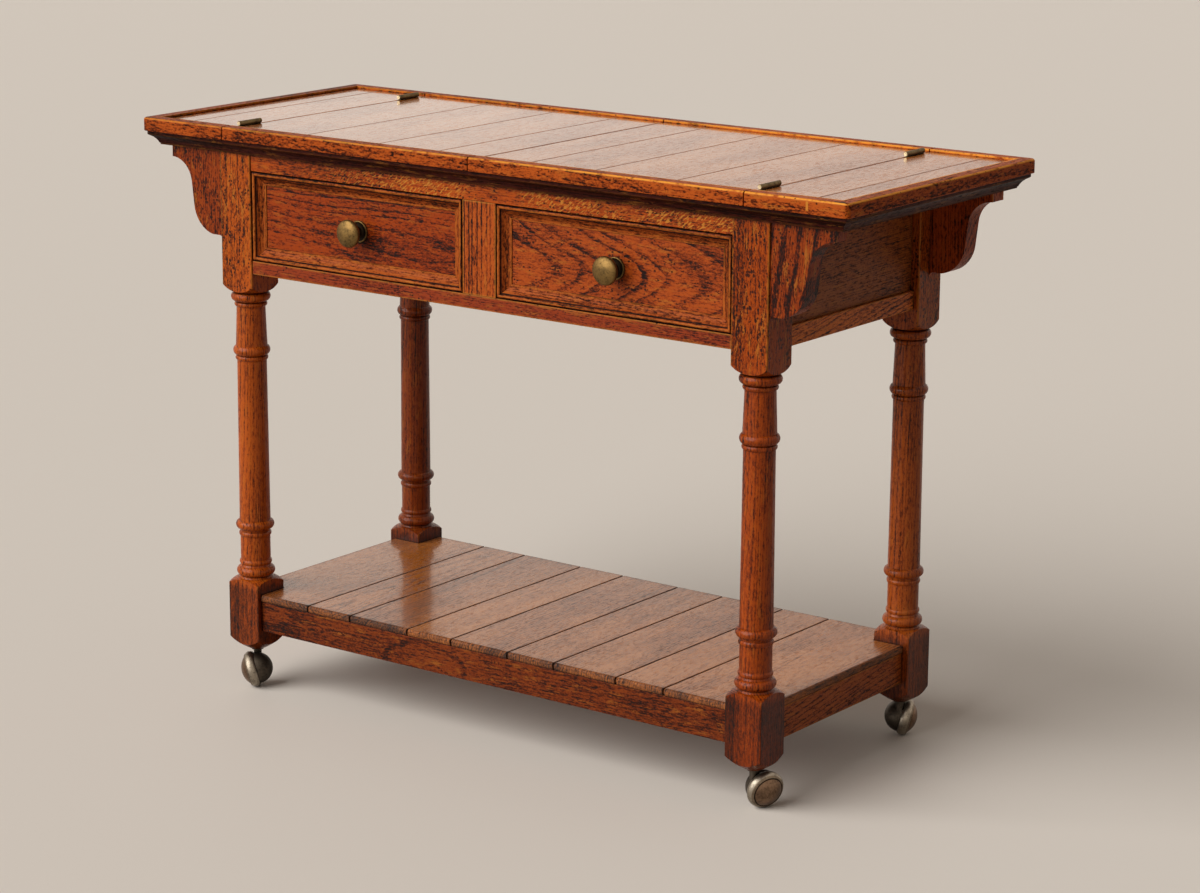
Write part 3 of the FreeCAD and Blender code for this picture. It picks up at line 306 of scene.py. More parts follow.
def speckles(wood, amount):
    """1 in the round dark specks that the finisher flicked on in crowds, and 0 off them."""
    along, across, depth = wood
    vector = along.node("ShaderNodeCombineXYZ", {}, {0: along * 200, 1: across * 250, 2: depth * 250})
    gap = vector.node("ShaderNodeTexVoronoi", {}, {"Vector": vector, "Scale": 1.0})
    chances = Socket(gap.tree, gap.link.node.outputs["Color"])
    chance = gap.node("ShaderNodeSeparateColor", {}, {0: chances})
    crowd = figure(wood, 32, 42).smooth(0.3, 0.62)
    size = (chance - 1 + (0.25 + 0.75 * crowd) * amount) * 0.6
    soft_rim = (-0.04, 0.1)
    return (size - gap).smooth(*soft_rim)


def oak(material, along, across, depth, stain, heart=(0, 0), ring=0.0035, rise=0.03, wander=0.004, bands=1.0,
        streaks=1.0, specks=0.35, lights=0.3, tone=0.0, flecks=None, worn=None, rubbed_and_highlight_share=1.0,
        crease=None, gloss=0.38, shine=0.1, varnish=0.0, relief=wood_relief):
    """Oak whose grain runs along the first coordinate. heart is where the log's heart lay in the other two.
    Its growth rings are ring metres wide, climb by rise along the board, and wander. bands, streaks,
    specks and lights say how strongly each of these marks shows, and tone darkens the whole."""
    across, depth = across - heart[0], depth - heart[1]
    wood = (along, across, depth)
    drift = figure(wood, 2.2, 13, 1.0) - 0.5
    ripple = figure(wood, 16, 80) - 0.5
    fibre = figure(wood, 26, 420, 2.0, 0.65)
    radius = (across * across + depth * depth).root()
    radius = radius + along * rise + drift * (wander * 6) + ripple * (wander * 0.5) + (fibre - 0.5) * 0.0014
    rings = radius / ring
    uneven_years = 2.6
    rings = rings + noise(rings * 0.33, rings * 0.0, rings * 0.0, 1.0) * uneven_years
    phase = rings.fraction()
    weight = noise(rings * 0.21, along * 6, rings * 0.0, 1.0).smooth(0.3, 0.62)
    band = phase.smooth(0.0, 0.06) * phase.smooth(0.5, 0.05) * (0.35 + 0.65 * weight)
    pore = (figure(wood, 100, 440, 3.0, 0.6) + band * 0.08).smooth(0.53, 0.62)
    cloud = figure(wood, 5, 15, 3.0, 0.6)
    mottle = figure(wood, 85, 320, 4.0, 0.75).smooth(0.38, 0.64) - 0.5
    grit = figure(wood, 240, 360, 3.0, 0.75).smooth(0.38, 0.62) - 0.5
    base_share, band_share, cloud_share = 0.16, 0.44, 0.36
    fibre_share, pore_share, mottle_share, grit_share = 0.12, 0.40, 0.44, 0.34
    fine_grain = fibre_share * (fibre.smooth(0.35, 0.66) - 0.5) + pore_share * pore + mottle_share * mottle
    dark = base_share + bands * band_share * band + streaks * fine_grain
    dark = dark + cloud_share * (cloud.smooth(0.32, 0.68) - 0.5) + tone + streaks * (grit_share * grit)
    light_grain_shares = (1.55, 1.8, 1.6)
    light_grain = tuple(level * share for level, share in zip(hue(stain), light_grain_shares)) + (1,)
    stops = [(0.0, light_grain), (0.34, hue(stain)), (0.68, hue(stain, 0.34)), (1.0, hue(dark_wax_and_shade))]
    colour = dark.node("ShaderNodeValToRGB", {"stops": stops}, {0: dark})
    rubbed = figure(wood, 30, 150, 3.0, 0.6).smooth(0.52, 0.7) * dark.smooth(0.5, 0.2)
    colour = (rubbed * lights).between(colour, hue(rubbed_oak_and_highlight, 0.75))
    if flecks is not None:
        colour = flecks.between(colour, hue(rubbed_oak_and_highlight))
    if worn is not None:
        patchy = figure(wood, 50, 50, 3.0, 0.7).smooth(0.28, 0.52)
        # Wear, lighter where rubbed. A share above 1 paints a highlight as well.
        colour = (worn * patchy).between(colour, hue(rubbed_oak_and_highlight, rubbed_and_highlight_share))
    spot = speckles(wood, specks)
    colour = (spot * 0.85).between(colour, hue(dark_wax_and_shade))
    # Painted shade: the wood is darkened in creases and corners.
    if crease is not None:
        colour = (crease * 0.8).between(colour, hue(dark_wax_and_shade))
    height = fibre * 0.3 - pore * 0.7 - spot * 0.6
    surface = {
        "Base Color": colour,
        "Roughness": gloss + 0.18 * (cloud - 0.5) + pore * 0.2,
        "Specular IOR Level": shine,
        "Coat Weight": varnish,
        "Coat Roughness": 0.1,
    }
    return finish_surface(material, surface, height, relief)


def dress(piece, material):
    """Puts a finish on a piece as it stands."""
    piece.data.materials.clear()
    piece.data.materials.append(material)


# Each leg's stain, how far from its middle its blank's two strips are glued together, and how much
# darker the left strip is.
leg_finishes = {
    "leg_front_left": ("923d0c", -0.014, 0.12),
    "leg_front_right": ("823105", -0.010, 0.28),
    "leg_back_left": ("672708", 0.008, 0.05),
    "leg_back_right": ("883b10", 0.011, 0.08),
}
block_top = 0.148
block_fade = 0.01
post_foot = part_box("bottom_rail_front")[0].z - 0.03
post_fade = 0.05
glue_fade = 0.005
strip_shift = 0.031
no_ends = (-1, 2)
for number, (node, (stain, glue_line, strip_tone)) in enumerate(leg_finishes.items()):
    material, (x, y, z) = start_finish(node)
    low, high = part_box(node)
    middle = (low + high) / 2
    strip = (x - middle.x) < glue_line
    waver = (noise(z * 22, x * 50, y * 50) - 0.5) * 0.012
    smoke = (x - middle.x + waver).smooth(glue_line + glue_fade, glue_line - glue_fade)
    heart = (middle.x + 0.048 + 0.009 * number, middle.y + 0.062 - 0.014 * number)
    worn = near_arris((x, y, z), ((low.x, high.x), (low.y, high.y), no_ends)).smooth(0.0035, 0.0)
    # Painted shade: the square blocks at the foot are made darker, for the dimmer light near the floor.
    low_down = z.smooth(block_top + block_fade, block_top - block_fade)
    high_up = z.smooth(post_foot - post_fade, post_foot + post_fade)
    oak(material, z, x + strip * strip_shift, y, stain, heart, ring=0.0034, rise=0.018, wander=0.0025,
        bands=0.75 - 0.4 * low_down, streaks=0.72 + 0.55 * high_up - 0.24 * low_down,
        specks=0.4 + 0.6 * high_up, lights=0.2 + 0.35 * high_up,
        tone=smoke * strip_tone + low_down * 0.5 + high_up * 0.07 - 0.05,
        worn=worn * (0.4 - 0.4 * low_down), crease=creases(x, 0.006, False),
        gloss=0.32, varnish=0.14 - 0.12 * high_up)
    dress(nodes[node], material)


# Rails, stile, panels and back: oak boards planed and sanded by hand, jointed into the posts
# and glued. Their arrises are eased, and the corners between them are painted darker as shade.
board_ease = 0.0008
ease_steps = 2
weld_reach = 0.00001
under_face = 0.001


def eased(node, width, board_count=1, board_at=None):
    """A copy of a CAD piece with its arrises eased by sandpaper, in the piece's place. Where boards of the
    piece touch, board_at gives the number of the board at a place, and they stay apart."""
    bpy.ops.object.select_all(action="DESELECT")
    nodes[node].select_set(True)
    bpy.context.view_layer.objects.active = nodes[node]
    bpy.ops.object.duplicate()
    piece = bpy.context.active_object
    piece.name = node + "_eased"
    del piece["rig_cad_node"]
    bpy.ops.object.mode_set(mode="EDIT")
    bpy.ops.mesh.select_mode(type="FACE")
    for number in range(board_count):
        bpy.ops.mesh.select_all(action="DESELECT")
        bpy.ops.object.mode_set(mode="OBJECT")
        for face in piece.data.polygons:
            face.select = board_count == 1 or board_at(face.center - face.normal * under_face) == number
        bpy.ops.object.mode_set(mode="EDIT")
        bpy.ops.mesh.remove_doubles(threshold=weld_reach)
    bpy.ops.mesh.select_mode(type="VERT")
    bpy.ops.mesh.select_all(action="SELECT")
    bpy.ops.mesh.customdata_custom_splitnormals_clear()
    bpy.ops.mesh.dissolve_limited(angle_limit=math.radians(1))
    bpy.ops.object.mode_set(mode="OBJECT")
    ease = piece.modifiers.new("ease", "BEVEL")
    ease.width = width
    ease.segments = ease_steps
    ease.limit_method = "ANGLE"
    ease.angle_limit = math.radians(35)
    bpy.ops.object.modifier_apply(modifier="ease")
    bpy.ops.object.shade_smooth_by_angle(angle=math.radians(60))
    piece.modifiers.new("flat_faces", "WEIGHTED_NORMAL").keep_sharp = True
    bpy.ops.object.modifier_apply(modifier="flat_faces")
    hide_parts(node)
    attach(piece, nodes[node]["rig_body"])
    return piece


def board(node, grain, heart, stain, ease=board_ease, wear=0.5, **manner):
    """Finishes one board: the axis of its grain, and where the log's heart lay from its middle."""
    material, place = start_finish(node)
    low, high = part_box(node)
    middle = (low + high) / 2
    length = "xyz".index(grain)
    across, depth = (place[axis] - (middle[axis] + heart[axis]) for axis in (2, 1, 0) if axis != length)
    worn = near_arris(place, list(zip(low, high))).smooth(0.003, 0.0) * wear
    manner.setdefault("crease", creases(place[0], 0.007, False))
    oak(material, place[length], across, depth, stain, worn=worn, **manner)
    dress(eased(node, ease) if ease else nodes[node], material)


material, (x, y, z) = start_finish("top_rail_front")
fleck_rise = 0.75
fleck = noise((x + z * fleck_rise) * 95, (z - x * fleck_rise) * 340, y * 200, 2.0, 0.6).smooth(0.52, 0.6)
fleck_patch = noise(x * 9, z * 30, y * 9).smooth(0.36, 0.54) * (x.smooth(-0.33, -0.1) * 0.75)
oak(material, x, z, y, "8d370b", heart=(0.9, -0.17), ring=0.003, rise=0.004, bands=0.5, specks=0.8,
    flecks=fleck * fleck_patch, tone=x.smooth(-0.1, -0.36) * 0.08, crease=creases(x, 0.007, False))
dress(eased("top_rail_front", board_ease), material)
board("bottom_rail_front", "x", (0, 0.03, 0.11), "732810", ring=0.0028, rise=0.004, bands=0.7, specks=0.7)
board("centre_stile", "z", (0.065, 0.02, 0), "8e3b11", ring=0.0062, rise=0.008, wander=0.0009, bands=2.3)
board("end_panels", "y", (0.40, 0, 0.32), "7d3f1c", ring=0.003, rise=0.02, bands=0.8, ease=0)
board("end_rails", "y", (0.40, 0, 0.10), "b35a29", ring=0.0055, rise=0.14, bands=1.2)
board("back_panel", "x", (0, -0.05, -0.02), "7d3a14", ring=0.005, rise=0.1)
board("drawer_runners", "x", (0, 0.05, 0.2), "a3703a", ring=0.004, ease=0)


# Drawers: each a sunk oak front with a mitred moulding planted round it, nailed to a plain,
# unstained oak box with a thin bottom, which slides on the runners.
def strip_at(place, middle, half):
    """The number of the strip of a mitred frame, upright in X and Z, that a place lies in."""
    beside = place.x - middle.x
    above = place.z - middle.z
    if half.x - abs(beside) < half.z - abs(above):
        return int(beside > 0)
    return 2 + int(above > 0)


def drawer_panel(word):
    """The sunk panel of a drawer front. The right one was cut from a board with wilder rings."""
    node = f"drawer_{word}_front"
    if word == "left":
        board(node, "x", (0, 0.036, -0.034), "7b2b08", ease=0, wear=0, ring=0.0066, rise=0.02, wander=0.0065,
              bands=1.05, streaks=1.1, specks=0.5, lights=0.25)
    else:
        board(node, "x", (0, 0.044, -0.006), "883610", ease=0, wear=0, ring=0.0105, rise=0.2, wander=0.0055,
              bands=1.3, streaks=1.0, specks=0.8, lights=0.4)


def drawer_moulding(word):
    """The four mitred strips round a drawer front: from the outside in a bead, a quirk, a cove and a lip."""
    node = f"drawer_{word}_moulding"
    low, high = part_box(node)
    middle = (low + high) / 2
    half = (high - low) / 2
    material, (x, y, z) = start_finish(node)
    from_end = half.x - abs(x - middle.x)
    from_edge = half.z - abs(z - middle.z)
    upright = from_end < from_edge
    along = x + (z - x) * upright
    across = z + (x - z) * upright
    inset = from_end.least(from_edge)
    joint = inset.smooth(0.0016, 0.0008)
    bead = inset.smooth(0.0018, 0.0026) * inset.smooth(0.0042, 0.0030)
    quirk = inset.smooth(0.0046, 0.0052) * inset.smooth(0.0068, 0.0062)
    cove = inset.smooth(0.0062, 0.0085) * inset.smooth(0.0150, 0.0130)
    lip = inset.smooth(0.0155, 0.0163)
    lower_half = z < middle.z
    # Painted shade: the cove is darkened, most on the top strip, whose cove faces down, and the quirk is
    # darkened in its groove.
    oak(material, along, across, y, "883c15", heart=(0.2, -0.3), ring=0.004, rise=0.01, bands=0.7, specks=0.5,
        tone=cove * (0.2 - 0.18 * lower_half) + quirk * 0.5 + joint * 0.7, worn=bead * 0.26 + lip * 0.12,
        crease=creases(x, 0.004, False).most(quirk), gloss=0.45, shine=0.06)
    piece = eased(node, 0.0003, board_count=4, board_at=lambda place: strip_at(place, middle, half))
    dress(piece, material)


def drawer_lining(node, crosswise_from):
    """The plain oak of a drawer's box or bottom. Behind crosswise_from in Y its boards lie across."""
    material, (x, y, z) = start_finish(node)
    crosswise = (y > crosswise_from) * 1.0
    along = y + (x - y) * crosswise
    across = x + (y - x) * crosswise
    oak(material, along, across, z, "b98a55", heart=(0.21, 0.4), ring=0.004, bands=0.6, streaks=0.6,
        specks=0.0, crease=creases(x, 0.012, True), gloss=0.55, shine=0.2)
    dress(nodes[node], material)


box_back_board = 0.1528
before_drawer = -1
for word in ("left", "right"):
    drawer_panel(word)
    drawer_moulding(word)
    drawer_lining(f"drawer_{word}_box", box_back_board)
    drawer_lining(f"drawer_{word}_bottom", before_drawer)


# Drawer knobs: brass buttons turned on a lathe, with a shallow crown over a full rim, on dished
# backplates. They have aged to a patchy olive brown, and a steel bolt holds each from behind.
grime_hue = hue("120c07")
metal_relief = 0.00005


def metal(name, bright, dull, begun=None, reach=0.003, gloss=0.46):
    """Aged metal, bright where hands rub it and dull in its creases. begun is a material already started."""
    material, (x, y, z) = begun or start_finish(name)
    cloud = noise(x * 90, y * 90, z * 90, 3.0, 0.65)
    grime = noise(x * 420, y * 420, z * 420, 2.0, 0.6)
    dullness = cloud.smooth(0.3, 0.7) * 0.6 + grime.smooth(0.5, 0.72) * 0.4
    colour = dullness.smooth(0.0, 1.0).between(bright, dull)
    colour = creases(x, reach, False).between(colour, grime_hue)
    surface = {
        "Base Color": colour,
        "Metallic": 1.0,
        "Roughness": gloss + 0.16 * dullness,
    }
    return finish_surface(material, surface, grime, metal_relief)


lathe_sides = 64


def turned(node, profile, centre, axis):
    """A piece turned on a lathe in a node's place. Its profile gives the rings' radii and heights along its
    axis. A profile that ends on its first ring is bored through."""
    bpy.ops.object.select_all(action="DESELECT")
    radius, height = profile[0]
    ends = "NOTHING" if profile[0] == profile[-1] else "NGON"
    bpy.ops.mesh.primitive_circle_add(vertices=lathe_sides, radius=radius, fill_type=ends)
    piece = bpy.context.active_object
    piece.name = node + "_turned"
    bpy.ops.object.mode_set(mode="EDIT")
    bpy.ops.mesh.select_all(action="SELECT")
    bpy.ops.transform.translate(value=(0, 0, height))
    for next_radius, next_height in profile[1:]:
        bpy.ops.mesh.extrude_region_move(TRANSFORM_OT_translate={"value": (0, 0, next_height - height)})
        share = next_radius / radius
        bpy.ops.transform.resize(value=(share, share, 1), center_override=(0, 0, next_height))
        radius, height = next_radius, next_height
    bpy.ops.mesh.select_all(action="SELECT")
    bpy.ops.mesh.remove_doubles(threshold=weld_reach)
    bpy.ops.mesh.normals_make_consistent(inside=False)
    bpy.ops.object.mode_set(mode="OBJECT")
    piece.rotation_euler = axis.to_track_quat("Z", "Y").to_euler()
    piece.location = centre
    bpy.ops.object.transform_apply(location=True, rotation=True, scale=True)
    bpy.ops.object.shade_smooth_by_angle(angle=math.radians(32))
    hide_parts(node)
    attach(piece, nodes[node]["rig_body"])
    return piece


def dome(radius, rim, crown):
    """Rings of a shallow dome, from its rim's height to its crown's."""
    rise = crown - rim
    ball = (radius * radius + rise * rise) / (2 * rise)
    ring_shares = (1, 0.9, 0.78, 0.64, 0.5, 0.34, 0.18, 0.02)
    rings = [radius * share for share in ring_shares]
    return [(ring, crown - ball + math.sqrt(ball * ball - ring * ring)) for ring in rings]


bolt_bore = 0.00205
bolt_end = 0.015
plate_bore = 0.0023
plate_height = 0.0030
plate_rim = 0.0146
knob_neck = 0.0056
knob_rim = 0.0186
knob_crown = 0.0300
knob_profile = [
    (bolt_bore, bolt_end), (bolt_bore, plate_height), (0.0070, plate_height), (0.0070, 0.0042),
    (0.0059, 0.0060), (knob_neck, 0.0100), (0.0063, 0.0135), (0.0087, 0.0160), (0.0123, 0.0172),
    (0.0153, 0.0178), (0.0172, 0.0188), (0.0182, 0.0202), (knob_rim, 0.0218), (0.0184, 0.0236),
    (0.0177, 0.0250),
] + dome(0.0169, 0.0258, knob_crown)
backplate_profile = [
    (plate_bore, plate_height), (plate_bore, 0.0), (0.0140, 0.0), (0.0145, 0.0006), (plate_rim, 0.0015),
    (0.0142, 0.0024), (0.0134, 0.0027), (0.0127, 0.0023), (0.0118, 0.0013), (0.0100, 0.0010),
    (0.0084, 0.0012), (0.0078, 0.0022), (0.0070, plate_height), (plate_bore, plate_height),
]
dish_edge = (0.0129 ** 2, 0.0122 ** 2)
behind_rim = (0.0190, 0.0165)
towards_front = Vector((0, -1, 0))
knob_bright = (0.19, 0.112, 0.036, 1)
knob_dull = (0.058, 0.036, 0.014, 1)
# Dark patina, and painted shade, for the backplate's dish and the knob's neck behind its rim.
knob_patina_and_shade = (0.022, 0.014, 0.008, 1)
steel_bright = (0.42, 0.41, 0.39, 1)
steel_dull = (0.12, 0.11, 0.10, 1)
for word in ("left", "right"):
    node = f"drawer_{word}_backplate"
    low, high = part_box(node)
    centre = ((low.x + high.x) / 2, high.y, (low.z + high.z) / 2)
    begun = start_finish(node)
    x, y, z = begun[1]
    from_axis = (x - centre[0]) * (x - centre[0]) + (z - centre[2]) * (z - centre[2])
    # Painted shade and patina: the dish inside the backplate's rim is dark.
    dish = from_axis.smooth(*dish_edge)
    brass = metal(node, dish.between(knob_bright, knob_patina_and_shade), dish.between(knob_dull, knob_patina_and_shade), begun)
    dress(turned(node, backplate_profile, centre, towards_front), brass)
    node = f"drawer_{word}_knob"
    begun = start_finish(node)
    # Painted shade and patina: the knob is dark behind its rim.
    behind = (centre[1] - begun[1][1]).smooth(*behind_rim)
    brass = metal(node, behind.between(knob_bright, knob_patina_and_shade), behind.between(knob_dull, knob_patina_and_shade), begun)
    dress(turned(node, knob_profile, centre, towards_front), brass)
    node = f"drawer_{word}_knob_bolt"
    dress(nodes[node], metal(node, steel_bright, steel_dull))


# Corbels: four brackets sawn from thick oak, with a hollow over a belly, glued to the posts
# under the overhanging ends. The front ones are cut from boldly striped wood.
corbel_ease = 0.0012
stripe_width = 0.021
stripe_rise = 0.17
material, (x, y, z) = start_finish("corbels_front")
on_right = x > 0
stripe_place = x - z * stripe_rise + (noise(z * 16, x * 30, y * 30, 3.0) - 0.5) * 0.02
stripe = (stripe_place / stripe_width).fraction()
stripe = stripe.smooth(0.0, 0.16) * stripe.smooth(0.5, 0.3) * on_right
oak(material, z, x, y, "732907", heart=(0.385, -0.2), ring=0.0036, rise=0.03 - stripe_rise * on_right,
    wander=0.0025, bands=0.6, streaks=1.4 - 0.3 * on_right, specks=0.9, lights=0.5,
    tone=stripe * 0.62 - 0.1 * on_right, crease=creases(x, 0.007, False))
dress(eased("corbels_front", corbel_ease), material)
board("corbels_back", "z", (0.38, 0.03, 0), "8a3713", ring=0.0036, rise=0.02, wander=0.0016, bands=1.2,
      lights=0.1, ease=corbel_ease)


# Shelf: four rails jointed between the blocks of the legs, with planks laid across them, a
# little apart, and rounded along their outer edges. Its varnish is glossy from wiping.
shelf_rail_ease = 0.001
patch_middle = Vector((-0.100, 0, 0.086))
patch_half = Vector((0.068, 0, 0.036))
material, (x, y, z) = start_finish("shelf_rail_front")
left_smear = x.smooth(-0.27, -0.36) * noise(x * 16, z * 90, y * 20, 3.0, 0.7).smooth(0.42, 0.56)
right_smear = x.smooth(0.02, 0.3) * noise(x * 9 + 5, z * 60, y * 20, 3.0, 0.7).smooth(0.5, 0.62)
patch_x = (x - patch_middle.x) / patch_half.x
patch_z = (z - patch_middle.z) / patch_half.z
patch = (patch_x * patch_x + patch_z * patch_z) + (noise(x * 40, z * 60, y * 40) - 0.5) * 0.8
patch_edge = patch.smooth(0.78, 0.98) * patch.smooth(1.3, 1.05)
# Its stain is darker than the other rails', partly the rail's own colour and partly painted shade for the
# dimmer light near the floor.
oak(material, x, z, y, "64270b", heart=(0.17, -0.24), ring=0.004, rise=0.02, bands=0.5, specks=0.6,
    tone=left_smear * 0.5 + patch_edge * 0.38 + right_smear * 0.3, crease=creases(x, 0.008, False))
dress(eased("shelf_rail_front", shelf_rail_ease), material)
board("shelf_rail_ends", "y", (0.38, 0, 0.05), "8c4019", ring=0.005, rise=0.1, ease=shelf_rail_ease)
board("shelf_rail_back", "x", (0, -0.05, 0.03), "7d3a14", ring=0.005, rise=0.06, ease=shelf_rail_ease)


def planks(x, plank_joints):
    """A number for each plank of a row laid side by side along X, and a chance value from 0 to 1 for each."""
    plank = x > plank_joints[0]
    for joint in plank_joints[1:]:
        plank = plank + (x > joint)
    return plank, plank.node("ShaderNodeTexWhiteNoise", {"noise_dimensions": "1D"}, {"W": plank + 0.5})


shelf_joints = (-0.3054, -0.2298, -0.1288, -0.0536, 0.0415, 0.1175, 0.2173, 0.2925)
shelf_grain_step = 0.7
shelf_heart_spread = 0.35
material, (x, y, z) = start_finish("shelf_planks")
plank, chance = planks(x, shelf_joints)
low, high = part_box("shelf_planks")
from_arris = near_arris((x, y, z), list(zip(low, high)))
border = from_arris.smooth(0.016, 0.003)
nosing = (high.x - abs(x)).least(high.y - abs(y)).smooth(0.0055, 0.002)
# Painted shade: the rounded nosing along the outer edges is darkened.
oak(material, y + plank * shelf_grain_step, x + chance * shelf_heart_spread, z, "95521e",
    heart=(0.05, 0.17), ring=0.0042, rise=0.05, wander=0.005,
    bands=0.7, streaks=0.55, specks=0.2, lights=0.15,
    tone=(chance - 0.5) * 0.14 + nosing * 0.28 + border * 0.12, crease=creases(x, 0.005, False),
    gloss=0.27 + nosing * 0.4, shine=0.36, varnish=(0.3 - x * 0.55) * (1 - nosing))
dress(eased("shelf_planks", board_ease), material)


# Deck and cornice: a flat board glued over the case, which the leaves lie on, and a cove
# moulding mitred round it. The cornice kept the darkest stain.
board("serving_deck", "x", (0, 0.12, -0.05), "8d4a1c", ring=0.005, rise=0.05, ease=0.0006, crease=None,
      gloss=0.26, shine=0.45, varnish=0.4)
fascia = 0.005
quirk_height = 0.0016
cove_foot = 0.004
cornice_ease = 0.0004
for node, grain in (("cornice_front", "x"), ("cornice_back", "x"), ("cornice_ends", "y")):
    material, place = start_finish(node)
    low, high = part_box(node)
    level = place[2] - low.z
    height = high.z - low.z
    cove_top = height - fascia
    edges = abs(level - cove_top).smooth(0.0016, 0.0004) + abs(level - quirk_height).smooth(0.0018, 0.0006)
    # Painted shade: the cove is darkened most near its top, which faces down.
    hollow = level.smooth(cove_top - 0.0002, cove_top - 0.0012) * level.smooth(cove_foot, cove_top)
    shadow = level.smooth(height - 0.0016, height - 0.0004)
    length = "xyz".index(grain)
    oak(material, place[length], place[1 - length], place[2], "330e08", heart=(0.6, 0.6), rise=0.01,
        bands=0.9, specks=0.5, tone=hollow * 0.4 + shadow * 0.6, worn=edges * 0.06,
        crease=creases(place[0], 0.007, False), gloss=0.45, shine=0.05)
    dress(eased(node, cornice_ease), material)


# Top: thin boards inside a raised rim with a rounded and well rubbed arris, painted lighter as a highlight
# too, in two fixed ends and two leaves. Its varnish is thick and reflects the room.
joints = {joint["name"]: joint for joint in frame["joints"]}
hinge_line = joints["leaf_right_flip"]["pos_m"][0]
half_top = (cad_high - cad_low) / 2
rim_width = 0.019
top_board_relief = 0.00005
top_grain_step = 0.9
top_heart_spread = 0.4
joints_right = (0.075, 0.176, 0.300, hinge_line, 0.505)
top_joints = tuple(-joint for joint in reversed(joints_right)) + (0.0,) + joints_right


def top_boards(node):
    """The planks of one leaf or fixed end, with their grain from front to back. Their seams stay dull."""
    material, (x, y, z) = start_finish(node)
    plank, chance = planks(x, top_joints)
    from_joint = abs(x - top_joints[0])
    for joint in top_joints[1:]:
        from_joint = from_joint.least(abs(x - joint))
    from_parting = abs(x).least(abs(abs(x) - hinge_line))
    seam = from_joint.smooth(0.0012, 0.0005).most(from_parting.smooth(0.0020, 0.0011))
    oak(material, y + plank * top_grain_step, x + chance * top_heart_spread, z, "9c5624",
        heart=(0.1, 0.84), ring=0.0045, rise=0.04, wander=0.005,
        bands=0.6, streaks=0.25, specks=0.12, lights=0.15,
        tone=(chance - 0.5) * 0.1 - 0.04 + seam * 0.2, crease=creases(x, 0.005, True),
        gloss=0.2 + seam * 0.6, shine=0.5, varnish=(0.81 - x.smooth(-0.4, 0.55) * 0.57) * (1 - seam),
        relief=top_board_relief)
    piece = eased(node, 0.0004, board_count=len(top_joints) + 1,
                  board_at=lambda place: sum(place.x > joint for joint in top_joints))
    dress(piece, material)


nick_place = Vector((0.5115, 0, 0.7815))
chip_middle = Vector((0.556, -0.219, 0))
chip_half = Vector((0.010, 0.006, 0))
chip_floor = 0.7875


def rim(node):
    """The raised rim of one leaf or fixed end, mitred at the corners. The right end is nicked and chipped."""
    material, (x, y, z) = start_finish(node)
    from_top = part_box(node)[1].z - z
    across_end = (half_top.x - abs(x)) < (half_top.y - abs(y))
    along = x + (y - x) * across_end
    across = y + (x - y) * across_end
    from_outside = (half_top.x - abs(x)).least(half_top.y - abs(y))
    from_side = from_outside.least(abs(from_outside - rim_width))
    arris = from_side.most(from_top).smooth(0.0030, 0.0014)
    # Painted shade: the rim is darker towards its lower part.
    lower_shade = from_top.smooth(0.005, 0.013)
    nick = abs(x - nick_place.x).smooth(0.0022, 0.0012) * abs(z - nick_place.z).smooth(0.0065, 0.0045)
    nick = nick * (y < 0)
    chip_x = (x - chip_middle.x) / chip_half.x
    chip_y = (y - chip_middle.y) / chip_half.y
    ragged = (noise(x * 300, y * 300, z * 300) - 0.5) * 1.2
    chip = (chip_x * chip_x + chip_y * chip_y + ragged).smooth(0.9, 0.5) * (z > chip_floor)
    # Painted highlight and wear: the rounded arris is brighter than rubbed oak, more so towards the right.
    # The rim is darker towards the left and lighter towards the right.
    oak(material, along, across, z, "903c12", heart=(0.3, 0.70), ring=0.0032, rise=0.006, bands=0.5,
        streaks=1.3, specks=0.6, lights=0.2 + x * 0.55, flecks=nick * 0.8,
        tone=across_end * 0.12 - x * 0.36 + chip * 0.9 + lower_shade * 0.1,
        worn=arris * (0.4 + x.smooth(-0.5, 0.45) * 0.6), rubbed_and_highlight_share=1.4, crease=creases(x, 0.004, True),
        gloss=0.45, shine=0.05)
    dress(nodes[node], material)


for word in ("left", "right"):
    top_boards(f"end_top_{word}")
    top_boards(f"leaf_{word}_planks")
    rim(f"end_rim_{word}")
    rim(f"leaf_{word}_rim")


# Hinges: small brass butts let into the joints with their knuckles standing on the top, gone
# dark, on pins whose heads are rubbed bright.
hinge_bright = (0.17, 0.115, 0.048, 1)
hinge_dull = (0.05, 0.034, 0.018, 1)
pin_bright = (0.75, 0.62, 0.38, 1)
pin_dull = (0.22, 0.16, 0.08, 1)
for node in ("hinge_plates_fixed", "leaf_left_hinges", "leaf_right_hinges"):
    dress(nodes[node], metal(node, hinge_bright, hinge_dull, reach=0.002))
dress(nodes["hinge_pins"], metal("hinge_pins", pin_bright, pin_dull, reach=0.001))


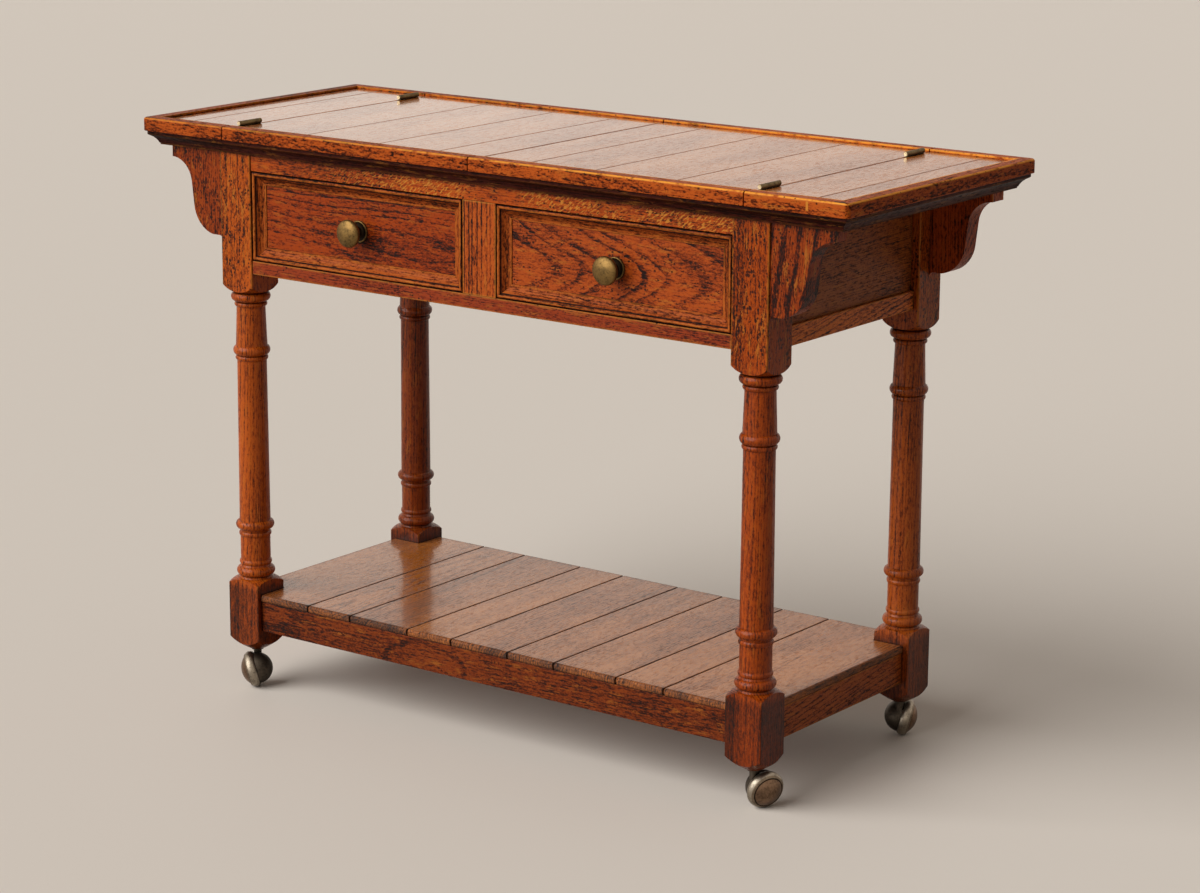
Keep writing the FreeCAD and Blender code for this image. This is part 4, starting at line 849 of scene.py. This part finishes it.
# Casters: a turned metal wheel with a worn grey tread and a domed hub inside a ring, on an axle
# in a dark stamped hood, which turns on its stem in a sleeve in the leg's foot.
hood_bright = (0.075, 0.06, 0.045, 1)
hood_dull = (0.03, 0.024, 0.018, 1)
tread_bright = (0.31, 0.265, 0.205, 1)
tread_dull = (0.13, 0.108, 0.082, 1)
hub_bright = (0.19, 0.115, 0.07, 1)
hub_dull = (0.07, 0.042, 0.026, 1)
ring_bright = (0.19, 0.145, 0.1, 1)
ring_dull = (0.075, 0.055, 0.038, 1)
axle_bore = 0.00305
bore_end = 0.0080
inner_face = -0.0055
inner_groove = 0.0173
tread_half_width = 0.0056
wheel_radius = 0.0254
hub_radius = 0.0197
hub_crown = 0.0160
wheel_profile = [
    (axle_bore, bore_end), (axle_bore, inner_face), (0.0171, inner_face), (inner_groove, -0.0050),
    (0.0175, inner_face), (0.0232, inner_face), (0.0244, -0.0038), (0.0251, -0.0020), (wheel_radius, 0.0),
    (0.0251, 0.0020), (0.0244, 0.0038), (0.0234, 0.0053), (0.0224, 0.0066), (0.0214, 0.0075),
    (0.0206, 0.0078), (0.0201, 0.0076), (0.0198, 0.0070), (0.0195, 0.0070), (0.0193, 0.0077),
] + dome(0.0192, 0.0081, hub_crown)
dress(nodes["caster_sockets"], metal("caster_sockets", hood_bright, hood_dull))
for corner in ("front_left", "front_right", "back_left", "back_right"):
    for part, bright, dull in (("hood", hood_bright, hood_dull), ("axle", steel_bright, steel_dull)):
        node = f"caster_{corner}_{part}"
        dress(nodes[node], metal(node, bright, dull))
    roll = joints[f"caster_{corner}_roll"]
    centre, axle = roll["pos_m"], roll["axis"]
    node = f"caster_{corner}_wheel"
    begun = start_finish(node)
    reach = [coordinate - middle for coordinate, middle in zip(begun[1], centre)]
    axial = reach[0] * axle[0] + reach[1] * axle[1] + reach[2] * axle[2]
    square = reach[0] * reach[0] + reach[1] * reach[1] + reach[2] * reach[2] - axial * axial
    radius = square.root()
    tread = (abs(axial) < tread_half_width) * (radius > inner_groove)
    outer = radius.smooth(hub_radius, hub_radius + 0.001)
    groove = abs(radius - hub_radius).smooth(0.0011, 0.0004) * (1 - tread) * 0.7
    bright = tread.between(outer.between(hub_bright, ring_bright), tread_bright)
    dull = tread.between(outer.between(hub_dull, ring_dull), tread_dull)
    worn_metal = metal(node, groove.between(bright, grime_hue), dull, begun, gloss=0.32)
    dress(turned(node, wheel_profile, centre, Vector(axle)), worn_metal)
